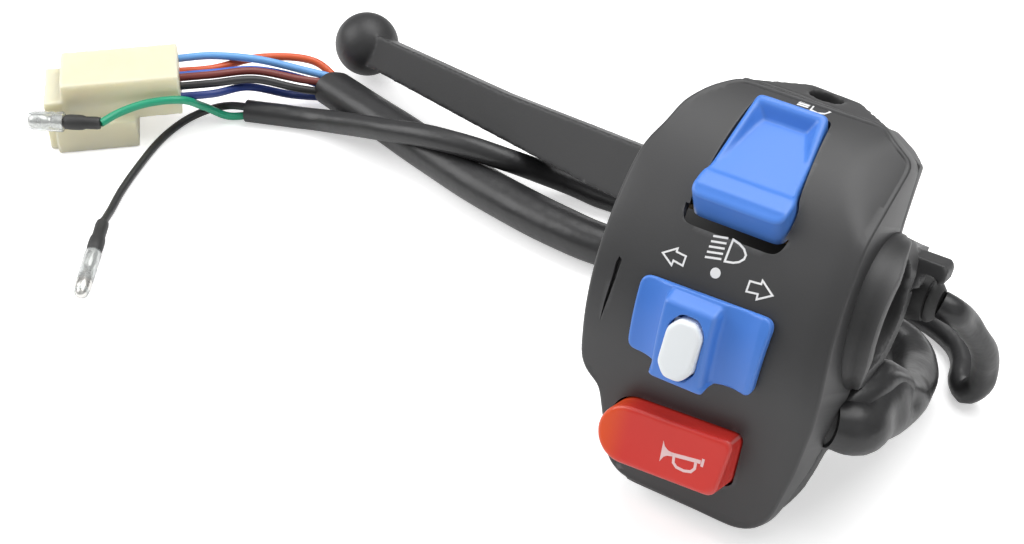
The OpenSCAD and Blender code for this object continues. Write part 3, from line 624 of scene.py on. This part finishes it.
def rocker_top(x, z):
    """Depth of the rocker's top: a sunk ramp between rising side rims, and a squared thumb lip below."""
    floor = max(0.0, 0.16 * (z - ROCKER_STEP))
    rim = min(floor, max(0.0, 1.3 * (12.8 - z) / 10.8))
    rim = min(rim, 0.3 + max(0.0, x + 7.4) * 0.4)
    side = min(x + 7.2, 5.3 + (11.2 - z) * 0.2 - x)
    wall = min(1.05 * side, 1.15 * (11.1 - z))
    y = max(rim, min(floor, rim + max(0.0, wall)))
    if z < ROCKER_STEP:
        y -= 0.45 * ease((ROCKER_STEP - z) / 1.3) + 0.13 * min(max(-8.4 - z, 0.0), 3.5)
    if z < LIP_EDGE:
        t = min(1.0, (LIP_EDGE - z) / 2.7)
        y += 3.4 * (1 - math.sqrt(1 - t * t * 0.96))
    return y


def key(bm, place, node, post, depth):
    """A work object of a modelled key, in the row frame, joined to the part of the CAD key that a post of
    that half width and half height holds below a depth."""
    def laid(x, y, z):
        return lean(*place(x, y, z))
    o = blank(reshape(bm, laid))
    foot = copy_of(node)
    w, h = post
    hold = prism([(-w, -h), (w, -h), (w, h), (-w, h)], depth, depth + POST_LENGTH, plain)
    carve(foot, reshape(hold, laid), "INTERSECT")
    joined = bmesh.new()
    joined.from_mesh(foot.data)
    discard(foot)
    carve(o, joined, "UNION")
    return o


def rocker():
    skin = crowned_solid(ROCKER_RING, rocker_top, 6.0, 0.7, 0.45, 4)
    o = key(skin, ON_ROCKER, "dip_rocker", (7, 9), 5.0)
    dress(o, "dip_rocker_key", "blue_plastic", "dip", "dip_rocker")


def slide_top(x, z):
    """Depth of the indicator slide: dished wings, and a ridge with drafted sides and a sloping upper end."""
    off = abs(x + 0.9)
    t = min(max((off - 5.6) / 7.2, 0), 1)
    wing = 1.1 + 0.8 * (2 * t - 1)**2
    ridge = 4.6 - max(0.0, off - 5.1) * 3.4 - max(0.0, z - 5.3) * 1.5
    return -max(wing, ridge)


def slide():
    skin = crowned_solid(SLIDE_RING, slide_top, -0.35, 0.55, 0.4, 4)
    o = key(skin, on_slide, "indicator_slider", (6.6, 3.3), -0.6)
    mid = (SLIDE_TURN - KNOB_TURN) * math.pi / 180 * R_LOW
    pocket = prism([(x + MIDDLE, z + mid) for x, z in KNOB_RING(-0.14)], -9, -0.9, plain)
    carve(o, reshape(pocket, lambda x, y, z: lean(*on_slide(x, y, z))))
    dress(o, "indicator_thumb_slide", "blue_plastic", "indicator", "indicator_slider")


def knob_top(x, z):
    """Depth of the cancel knob's crowned top, which stands out further at its lower end."""
    return -5.9 + 0.08 * z + 0.25 * ((x / 3.5)**2 + (z / 6.2)**2) / 2


def cancel_knob():
    skin = crowned_solid(KNOB_RING, knob_top, -2.6, 0.8, 0.4)
    o = key(skin, ON_KNOB, "cancel_button", (3, 5), -3.0)
    dress(o, "cancel_key", "white_plastic", "cancel", "cancel_button")


def horn_top(x, z):
    """Depth of the horn key's face, slightly hollow between its upper and lower edges."""
    return 0.10 * (1 - (z / 5.95)**2)


def horn_key():
    skin = crowned_solid(HORN_RING, horn_top, 11.3, 0.8, 0.6)
    o = key(skin, on_horn, "horn_button", (16, 9), 10.5)
    dress(o, "horn_key", "red_plastic", "horn", "horn_button")


def spring(node, name, fixed, moving, way):
    """A coil copied from its CAD node and left where it is, with way, in the housing's own frame, the way
    its moving body is pushed in.
    """
    way = lean(*way).normalized()
    o = copy_of(node)
    reach = [v.co.dot(way) for v in o.data.vertices]
    dress(o, name, "steel", (fixed, moving, way * max(reach), way * min(reach)), node)


def inwards(turn):
    """Direction of a push on a key of that tilt, in the housing's own frame."""
    return (0, math.cos(math.radians(turn)), math.sin(math.radians(turn)))


def controls():
    rocker()
    slide()
    cancel_knob()
    horn_key()
    spring("cancel_spring", "cancel_coil", "indicator", "cancel", inwards(KNOB_TURN))
    spring("horn_spring", "horn_coil", "housing", "horn", inwards(HORN_TURN))
    spring("plunger_spring", "plunger_coil", "housing", "plunger", (1, 0, 0))


def lever():
    o = cast_copy("brake_lever", 0.5, 3)
    dress(o, "lever_casting", "cast_black", "lever", "brake_lever", smooth=60)


# y and z of the brake-light switch, in the housing's own frame
SWITCH_Y, SWITCH_Z = 23, 3.5


def boot():
    profile = [(24.3, 3.4), (24.3, 4.7), (24.6, 5.0), (26.0, 5.0), (27.6, 4.75), (28.4, 4.5), (28.6, 4.2),
               (28.8, 4.2), (29.0, 4.45), (29.6, 4.4), (30.0, 4.1), (30.6, 3.5), (31, 3.1)]
    o = blank(lathe(profile, 48, lambda t, u, v: lean(t, SWITCH_Y + u, SWITCH_Z + v)))
    dress(o, "switch_boot_skin", "black_rubber", "housing", "switch_boot")


def connector():
    """The connector, its upper block drawn up to the photographed height."""
    o = cast_copy("connector_shell", 0.4, 9)
    for v in o.data.vertices:
        v.co.z += 0.0012 * ease((v.co.z * 1000 - TABLE - 9) / 6)
    return dress(o, "connector_moulding", "ivory_nylon", "housing", "connector_shell", smooth=50)


# Where each tail of the brake-light lead ends, and the tip of its bullet
GREEN_END, GREEN_TIP = (-177, 2, -34), (-193, -6.8, -34)
BLACK_END, BLACK_TIP = (-158, -20, -42.4), (-144, -43, -42.4)


def bullet_ends():
    """Crimps, bullets and clear sleeves on the two tails of the brake-light lead. Their profiles run along
    the piece from 0 to 1, the crimp over its share of it and the bullet and sleeve over the rest."""
    crimps, bullets, sleeves = bmesh.new(), bmesh.new(), bmesh.new()
    nose = [(0, 1.3), (0.03, 1.65), (0.3, 1.7), (0.34, 1.45), (0.40, 1.3), (0.46, 1.3), (0.52, 1.6),
            (0.58, 1.85), (0.78, 1.9), (0.86, 1.75), (0.93, 1.4), (0.98, 0.9), (1.0, 0.35)]
    for end, tip, share, wide, thick in ((GREEN_END, GREEN_TIP, 0.5, 2.5, 0.3),
                                         (BLACK_END, BLACK_TIP, 0.42, 1.95, 0.03)):
        lay = along(end, tip)
        rest = 1 - share
        gather(crimps, lathe([(0, 1.05), (0.01, 1.45), (0.05, 1.6), (0.2, 1.55), (0.25, 1.85), (0.3, 1.9),
                              (share - 0.08, 1.9), (share - 0.02, 1.8), (share, 1.4)], 24, lay))
        gather(bullets, lathe([(share + rest * s, r) for s, r in nose], 28, lay))
        skin = [(0.01, wide - 0.2), (0.04, wide), (0.55, wide - 0.02), (0.80, wide - 0.1),
                (0.92, wide - 0.35), (0.94, wide - 0.5)]
        inside = [(s, r - thick) for s, r in reversed(skin)]
        gather(sleeves, lathe([(share + rest * s, r) for s, r in skin + inside], 28, lay, hollow=True))
    return [dress(blank(crimps), "crimp_skins", "black_rubber", "housing", "crimp_sleeves"),
            dress(blank(bullets), "bullet_skins", "tinned_brass", "housing", "bullet_terminals"),
            dress(blank(sleeves), "clear_sleeve_skins", "clear_vinyl", "housing", "clear_sleeves")]


# Signs

# How far the ink of the signs stands out, and reaches in
INK_LIFT, INK_ROOT = 0.05, 0.1


def stroke(bm, points, width, place, closed=False):
    """A printed line of that width through points, as a thin layer laid by place."""
    fine = []
    pairs = list(zip(points, points[1:] + points[:1])) if closed else list(zip(points, points[1:]))
    for a, b in pairs:
        n = max(1, round(math.dist(a, b) / 0.5))
        fine += [(a[0] + (b[0] - a[0]) * i / n, a[1] + (b[1] - a[1]) * i / n) for i in range(n)]
    if not closed:
        fine.append(points[-1])
    loops = []
    count = len(fine)
    for k, p in enumerate(fine):
        before = fine[k - 1] if closed or k else p
        after = fine[(k + 1) % count] if closed or k < count - 1 else p
        u = Vector((p[0] - before[0], p[1] - before[1]))
        v = Vector((after[0] - p[0], after[1] - p[1]))
        u = u.normalized() if u.length else v.normalized()
        v = v.normalized() if v.length else u
        side = Vector((-(u + v).y, (u + v).x)).normalized()
        side *= width / 2 / max(0.5, side.dot(Vector((-u.y, u.x))))
        near, far = (p[0] + side.x, p[1] + side.y), (p[0] - side.x, p[1] - side.y)
        corners = [(near[0], -INK_LIFT, near[1]), (far[0], -INK_LIFT, far[1]),
                   (far[0], INK_ROOT, far[1]), (near[0], INK_ROOT, near[1])]
        loops.append([bm.verts.new(place(*c)) for c in corners])
    bridge(bm, loops, closed=closed)
    if not closed:
        bm.faces.new(loops[0])
        bm.faces.new(loops[-1])


def on_front(x, y, z):
    """Lays a sign on the front surface, and over its upper rim."""
    over = min(max(z - TOP + RIM, 0.0), RIM)
    return lean(x, face(x, z) + RIM - math.sqrt(RIM * RIM - over * over) + y, z)


def signs():
    """Arrows for the indicator slide, lamps for the dip rocker, the off dot, and the horn."""
    bm = bmesh.new()
    arrow = [(6.8, -0.4), (9.0, -0.2), (9.0, 0.5), (11.7, -1.4), (9.1, -3.1), (9.0, -2.1), (6.8, -2.4)]
    stroke(bm, arrow, 0.36, on_front, closed=True)
    stroke(bm, [(-0.1 - 0.92 * x, 0.92 * z) for x, z in reversed(arrow)], 0.36, on_front, closed=True)
    stroke(bm, arc(0.1, -1.3, 0.5, 0, 360, 20)[:-1], 1.0, on_front, closed=True)
    for k in range(5):
        stroke(bm, [(-2.85, 0.8 + k * 1.02), (0.25 - 0.06 * k, 1.45 + k * 0.99)], 0.4, on_front)
    lens = [(1.0, 5.5), (2.4, 5.2), (3.6, 4.6), (4.35, 3.7), (4.3, 2.9), (3.6, 2.1), (2.6, 1.6), (1.0, 1.3)]
    stroke(bm, lens, 0.4, on_front, closed=True)
    dipped = [(0.9, 33.15), (2.2, 33.2), (3.7, 33.05), (4.4, 32.6), (3.8, 32.0), (2.4, 31.7), (1.0, 31.9)]
    stroke(bm, dipped, 0.3, on_front, closed=True)
    for k in range(4):
        stroke(bm, [(-2.0, 32.1 + k * 0.34), (0.3, 32.15 + k * 0.34)], 0.26, on_front)
    dress(blank(bm), "face_signs", "housing_plastic", "housing", ink=SIGN_INK, smooth=30)

    def on_key(x, y, z):
        return lean(*on_horn(x, horn_top(x, z) + y, z))
    bm = bmesh.new()
    bell = [(-1.2, 0.9), (-0.7, -0.05), (0.1, -0.6), (1.3, -0.75), (1.3, -1.4), (0.2, -1.7), (-0.4, -2.2),
            (-0.95, -3.4)]
    loop = [(1.6, -1.3), (1.8, -2.5), (2.6, -3.1), (4.2, -3.2), (5.6, -2.8), (6.2, -1.9), (6.1, -0.7)]
    gather(bm, prism(bell, -INK_LIFT, INK_ROOT, on_key))
    stroke(bm, [(0.2, -1.15), (1.5, -1.0), (4.0, -0.6), (7.0, -0.15)], 0.75, on_key)
    stroke(bm, loop, 0.55, on_key)
    stroke(bm, [(7.4, 0.65), (7.4, -0.95)], 0.55, on_key)
    dress(blank(bm), "horn_sign", "red_plastic", "horn", ink=HORN_INK, smooth=30)


# Wiring

# Radii of the two sleeves, the slack fold and the wires
MAIN_R, LEAD_R, FOLD_R, WIRE_R = 5.0, 2.9, 3.6, 1.0
Z_MAIN = TABLE + MAIN_R
Z_LEAD = TABLE + LEAD_R
# Routes of the sleeves. The main one starts inside the housing's wall
MAIN_ROUTE = [(23.6, -13.1, -18.6), (26.5, -11.103, -19.693), (28.8, -9.503, -20.593), (29.3, -4.5, -22),
              (29.5, 3, -26), (29, 13, -30.5), (27.5, 22.5, -35), (25.5, 30.5, -38.5), (21.5, 37, Z_MAIN),
              (15, 39.8, Z_MAIN), (4, 41, Z_MAIN), (-20, 39, Z_MAIN), (-53, 33.8, Z_MAIN),
              (-64, 34.2, Z_MAIN), (-75, 35.4, Z_MAIN), (-90, 38.2, Z_MAIN), (-105, 42, Z_MAIN),
              (-120, 46.2, Z_MAIN), (-134, 49.6, Z_MAIN), (-144, 52.2, Z_MAIN)]
LEAD_ROUTE = [(31, 20.848, -10.325), (33.5, 21.348, -11.325), (35.5, 26, -17), (38, 31, -25), (39, 34, -33),
              (38.5, 34.5, -39), (36, 34.5, Z_LEAD), (34, 37, Z_LEAD), (32.5, 42, Z_LEAD), (29, 47, Z_LEAD),
              (22, 51, Z_LEAD), (10, 52.5, Z_LEAD), (-30, 52.5, Z_LEAD), (-52, 52, Z_LEAD),
              (-63.9, 51.6, Z_LEAD), (-70.6, 51.1, -41.2), (-78.4, 47.6, -38), (-85.7, 42, -33.4),
              (-93.9, 39.7, -31.9), (-104.9, 38.4, -32.2), (-116.8, 38.3, -34.8), (-130.1, 39.5, -38.7),
              (-139.8, 40, -41.4), (-146.8, 38.4, Z_LEAD), (-152.9, 36.2, Z_LEAD), (-158.2, 34.3, Z_LEAD)]
# Route of the slack fold beside the collar, in the housing's own frame
FOLD_ROUTE = [(22.6, 2.0, -21.4), (25.2, 2.6, -19.0), (26.4, 5.2, -16.6), (27.1, 9.3, -14.8),
              (27.8, 14, -12.9), (28.6, 19, -13.9), (29.0, 24, -16.5)]
# Place and turn of the connector on the table
PLUG_AT = (-180.5, 13.8)
PLUG_TURN = math.radians(41.5)


def plug_point(x, y, z):
    """A point of the connector's own frame, as it lies on the table."""
    c, s = math.cos(PLUG_TURN), math.sin(PLUG_TURN)
    return (PLUG_AT[0] + x * c - y * s, PLUG_AT[1] + x * s + y * c, TABLE + z)


def wire_route(start, a, b, y, z):
    """Route of a wire from the main sleeve's end into the connector, at a y and z of its own frame."""
    return [start, a, b, plug_point(22.5, y, z), plug_point(14.5, y, z)]


WIRES = {
    "wire_red": wire_route((-143.4, 54.8, -40), (-151.1, 54.3, -35.8), (-162.1, 46.5, -34), 7.1, 12.2),
    "wire_light_blue": wire_route((-143.4, 53.5, -37.8), (-149.9, 49.8, -35.8), (-160.4, 42.6, -31.9),
                                  9.5, 14.6),
    "wire_blue": wire_route((-143.4, 53.5, -42.2), (-150.7, 49.6, -38.6), (-159.7, 41.1, -34), 4.7, 12.5),
    "wire_brown": wire_route((-143.4, 50.6, -37.6), (-149.2, 46, -35.9), (-158.2, 38.6, -32.4), 2.3, 13.5),
    "wire_black": wire_route((-143.4, 49.6, -40), (-148.6, 43.8, -37.2), (-156.7, 36.6, -33.3), -0.1, 12.5),
    "wire_dark_blue": wire_route((-143.4, 50.9, -42.2), (-152, 45.5, -41.4), (-158.9, 36.1, -36.1),
                                 -2.5, 11),
}
GREEN_ROUTE = [(-157.6, 34.5, -43.4), (-161.8, 31.2, -43.3), (-164.8, 26, -38.5), (-165.7, 18.9, -32.7),
               (-171.5, 13.2, -32.5), (-175.5, 7, -33.3), GREEN_END]
BLACK_ROUTE = [(-157.6, 34.5, -40.9), (-162.5, 32.9, -41.3), (-167.2, 30.6, -42.8), (-170.2, 25.5, -43.8),
               (-170.6, 19, -43.9), (-169.9, 13.1, -43.9), (-167.5, 3.6, -43.9), (-164.3, -6.5, -43.9),
               (-160.6, -14.8, -43.5), BLACK_END]


def smooth_route(points, step, radius):
    """A smooth curve through the points that keeps a radius above the table, sampled about every step
    millimetres, in metres."""
    p = [Vector(q) for q in points]
    p = [2 * p[0] - p[1]] + p + [2 * p[-1] - p[-2]]
    out = []
    for k in range(1, len(p) - 2):
        a, b, c, d = p[k - 1:k + 3]
        ta, tb = ((b - a).length + 1e-6) ** 0.5, ((c - b).length + 1e-6) ** 0.5
        tc = ((d - c).length + 1e-6) ** 0.5
        m1 = (b - a) / ta - (c - a) / (ta + tb) + (c - b) / tb
        m2 = (c - b) / tb - (d - b) / (tb + tc) + (d - c) / tc
        m1, m2 = m1 * tb, m2 * tb
        n = max(2, round((c - b).length / step))
        for i in range(n):
            t = i / n
            out.append((2 * t**3 - 3 * t**2 + 1) * b + (t**3 - 2 * t**2 + t) * m1
                       + (3 * t**2 - 2 * t**3) * c + (t**3 - t**2) * m2)
    out.append(p[-2])
    return [mm(q.x, q.y, max(q.z, TABLE + radius)) for q in out]


def tube(name, route, radius, sides, finish, shape=None):
    """A sleeve or wire of that radius in millimetres along a route in metres, and its length. The function
    shape(run, left, angle) scales the radius by the run from the start, the run left to the end, and the
    angle round it, with 0 at the top."""
    length = sum((b - a).length for a, b in zip(route, route[1:]))
    bm = bmesh.new()
    loops = []
    run = 0.0
    n = Vector((0, 0, 1))
    for k, p in enumerate(route):
        t = (route[min(k + 1, len(route) - 1)] - route[max(k - 1, 0)]).normalized()
        n = (n - n.dot(t) * t).normalized()
        b = t.cross(n)
        if k:
            run += (p - route[k - 1]).length * 1000
        loop = []
        for j in range(sides):
            a = 2 * math.pi * j / sides
            r = radius * (shape(run, length * 1000 - run, a) if shape else 1.0)
            q = p + (math.cos(a) * n + math.sin(a) * b) * r * 0.001
            loop.append(bm.verts.new((q.x, q.y, max(q.z, TABLE * 0.001))))
        loops.append(loop)
    bridge(bm, loops)
    bm.faces.new(loops[0])
    bm.faces.new(loops[-1])
    o = dress(blank(bm), name, finish, "housing", smooth=60)
    return o, length


def dent(run, a, at, angle, deep, long, wide):
    """A soft hollow in a sleeve at a run and an angle."""
    off = math.atan2(math.sin(a - angle), math.cos(a - angle))
    return deep * math.exp(-((run - at) / long)**2 - (off / wide)**2)


# Hollows of the sleeves: run, angle, depth, length and width of each. A depth below 0 is a swelling
MAIN_DENTS = [(19, -0.3, -0.62, 8, 0.8), (30, 0.9, -0.12, 8, 0.7), (23, 0.75, 0.30, 3.0, 0.40),
              (13, 0.9, 0.16, 2.5, 0.6), (38, 0.5, 0.12, 4, 0.5), (36, -1.2, 0.12, 5, 0.5),
              (112, 0.9, 0.07, 14, 0.5), (132, 0.2, 0.06, 10, 0.4), (150, 1.0, 0.08, 16, 0.5)]
LEAD_DENTS = [(9, 0.6, 0.20, 4, 0.5), (17, -0.4, 0.22, 4, 0.6), (30, 1.2, 0.20, 4, 0.6),
              (22, -1.3, 0.20, 2.5, 0.35), (13, -1.0, 0.16, 6, 0.30)]
# Most that the main sleeve swells
MAIN_MOST = 1.66


def dents(run, a, hollows):
    """Depth of a sleeve's hollows together, at a run and an angle."""
    return sum(dent(run, a, *h) for h in hollows)


def main_shape(run, left, a):
    """A gathered root, a slack fold beside the collar, soft hollows on the way, broad sides where it lies on
    the table, and a pressed open end."""
    top, side = math.cos(a), math.sin(a)
    r = 1 + 0.12 * math.exp(-((run - 4.2) / 2.6)**2) - dents(run, a, MAIN_DENTS)
    r += 0.014 * math.sin(run * 0.19 + 2 * side) * math.sin(run * 0.07 + a) - 0.010
    pressed = ease((46 - left) / 34)
    broad = ease((run - 70) / 25) * ease((left - 8) / 40)
    r *= 1 + pressed * (0.27 * side * side - 0.14 * max(top, 0)**2) + 0.42 * broad * max(-side, 0)**2
    r *= 1 + 0.22 * ease((run - 62) / 18) * ease((158 - run) / 30) * max(side, 0)**2
    return min(r, MAIN_MOST)


def fold_shape(run, left, a):
    """The slack of the harness sleeve, doubled over beside the collar and creased along its back."""
    r = 1 + 0.10 * math.sin(run * 0.55 + 1.3 * math.sin(a)) * math.cos(a - 0.6)
    r -= dent(run, a, 17, 0.8, 0.25, 7, 0.35)
    return r * min(1.0, 0.55 + left / 9) * min(1.0, 0.7 + run / 20)


def lead_shape(run, left, a):
    """Slight waves along the lead's sleeve, and creases where it turns down beside the boot."""
    ripple = 0.015 * math.sin(run * 0.31 + 2 * math.sin(a)) * math.sin(run * 0.11 + a) - 0.015
    return 1 + ripple - dents(run, a, LEAD_DENTS)


def lay_cord(name, node, points, step, radius, sides, finish, shape=None):
    """A cord along points that stands for a CAD node."""
    route = smooth_route(points, step, radius)
    o, length = tube(name, route, radius, sides, finish, shape)
    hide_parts(node)


def lay_cords(plug, tails):
    """The two sleeves, the slack fold beside the collar, and the wires."""
    lay_cord("harness_sleeve", "main_sleeve", MAIN_ROUTE, 1.0, MAIN_R, 36, "vinyl", main_shape)
    fold = smooth_route([tuple(lean(*q) * 1000) for q in FOLD_ROUTE], 0.8, FOLD_R)
    tube("sleeve_fold", fold, FOLD_R, 28, "vinyl", fold_shape)
    lay_cord("lead_sleeve", "brake_lead_sleeve", LEAD_ROUTE, 1.0, LEAD_R, 28, "vinyl", lead_shape)
    slot_of = {p["node"]: p["material_slot"] for p in frame["record"]["subparts"]}
    ends = [(node, points, [plug, "connector_terminals"]) for node, points in WIRES.items()]
    ends += [("green_wire", GREEN_ROUTE, tails), ("black_wire", BLACK_ROUTE, tails)]
    for node, points, pieces in ends:
        lay_cord(node + "_skin", node, points, 0.8, WIRE_R, 16, slot_of[node])


# Table, light and camera

# Glow of the table and the share of it that mirrored rays see, and strength of the room's light
TABLE_GLOW, GLOSSY_SHARE = 0.5, 0.4
HORIZON, ZENITH = 0.22, 0.62


def table():
    """A pale table that glows to the camera and through clear pieces, and less to mirrored rays."""
    finish = finish_of("table", (0.86, 0.86, 0.86), (0.88, 0.88, 0.88), (0.6, 0.7), bump=0.0)
    t = finish.node_tree
    path = t.nodes.new("ShaderNodeLightPath")
    seen, clear, glow = (t.nodes.new("ShaderNodeMath") for _ in range(3))
    seen.operation, clear.operation, glow.operation = "MULTIPLY_ADD", "MAXIMUM", "MULTIPLY"
    seen.inputs[1].default_value = GLOSSY_SHARE
    glow.inputs[1].default_value = TABLE_GLOW
    shader = t.nodes["Principled BSDF"]
    shader.inputs["Emission Color"].default_value = (1, 1, 1, 1)
    t.links.new(path.outputs["Is Glossy Ray"], seen.inputs[0])
    t.links.new(path.outputs["Is Camera Ray"], seen.inputs[2])
    t.links.new(seen.outputs["Value"], clear.inputs[0])
    t.links.new(path.outputs["Is Transmission Ray"], clear.inputs[1])
    t.links.new(clear.outputs["Value"], glow.inputs[0])
    t.links.new(glow.outputs["Value"], shader.inputs["Emission Strength"])
    bm = bmesh.new()
    bmesh.ops.create_grid(bm, x_segments=1, y_segments=1, size=3.0)
    bmesh.ops.translate(bm, verts=bm.verts, vec=(0, 0, TABLE * 0.001 - 0.0001))
    me = bpy.data.meshes.new("table")
    bm.to_mesh(me)
    bm.free()
    me.materials.append(finish)
    o = bpy.data.objects.new("table", me)
    scene.collection.objects.link(o)


def room():
    """White light from all round, stronger from above."""
    world = bpy.data.worlds.new("room")
    world.use_nodes = True
    t = world.node_tree
    sky = t.nodes["Background"]
    sky.inputs["Color"].default_value = (1, 1, 1, 1)
    where = t.nodes.new("ShaderNodeTexCoord")
    split = t.nodes.new("ShaderNodeSeparateXYZ")
    rise = t.nodes.new("ShaderNodeMapRange")
    rise.inputs["To Min"].default_value = HORIZON
    rise.inputs["To Max"].default_value = ZENITH
    t.links.new(where.outputs["Generated"], split.inputs["Vector"])
    t.links.new(split.outputs["Z"], rise.inputs["Value"])
    t.links.new(rise.outputs["Result"], sky.inputs["Strength"])
    scene.world = world


def lamp(name, at, aim, size, watts):
    light = bpy.data.lights.new(name, "AREA")
    light.shape = "RECTANGLE"
    light.size, light.size_y = size
    light.energy = watts
    o = bpy.data.objects.new(name, light)
    o.location = at
    o.rotation_euler = (Vector(aim) - Vector(at)).to_track_quat("-Z", "Y").to_euler()
    scene.collection.objects.link(o)


def camera():
    cam = bpy.data.cameras.new("camera")
    cam.sensor_fit = "HORIZONTAL"
    cam.sensor_width = 36.0
    cam.lens = 65.04
    cam.clip_start = 0.01
    eye = bpy.data.objects.new("camera", cam)
    eye.location = (0.1086, -0.2585, 0.2273)
    eye.rotation_euler = (math.radians(50.4), 0, math.radians(32.5))
    scene.collection.objects.link(eye)
    scene.camera = eye
    scene.view_settings.view_transform = "Standard"


def studio():
    table()
    room()
    lamp("overhead softbox", (0.05, 0.25, 0.75), (0, 0, 0), (0.9, 0.6), 6.1)
    lamp("grip-side softbox", (-0.6, -0.25, 0.45), (-0.05, 0, 0), (0.6, 0.5), 3.2)
    lamp("inboard fill", (0.6, -0.35, 0.35), (0, 0, 0), (0.5, 0.5), 0.35)
    camera()


studio()
front_half()
rear_half()
controls()
lever()
boot()
signs()
lay_cords(connector(), bullet_ends())
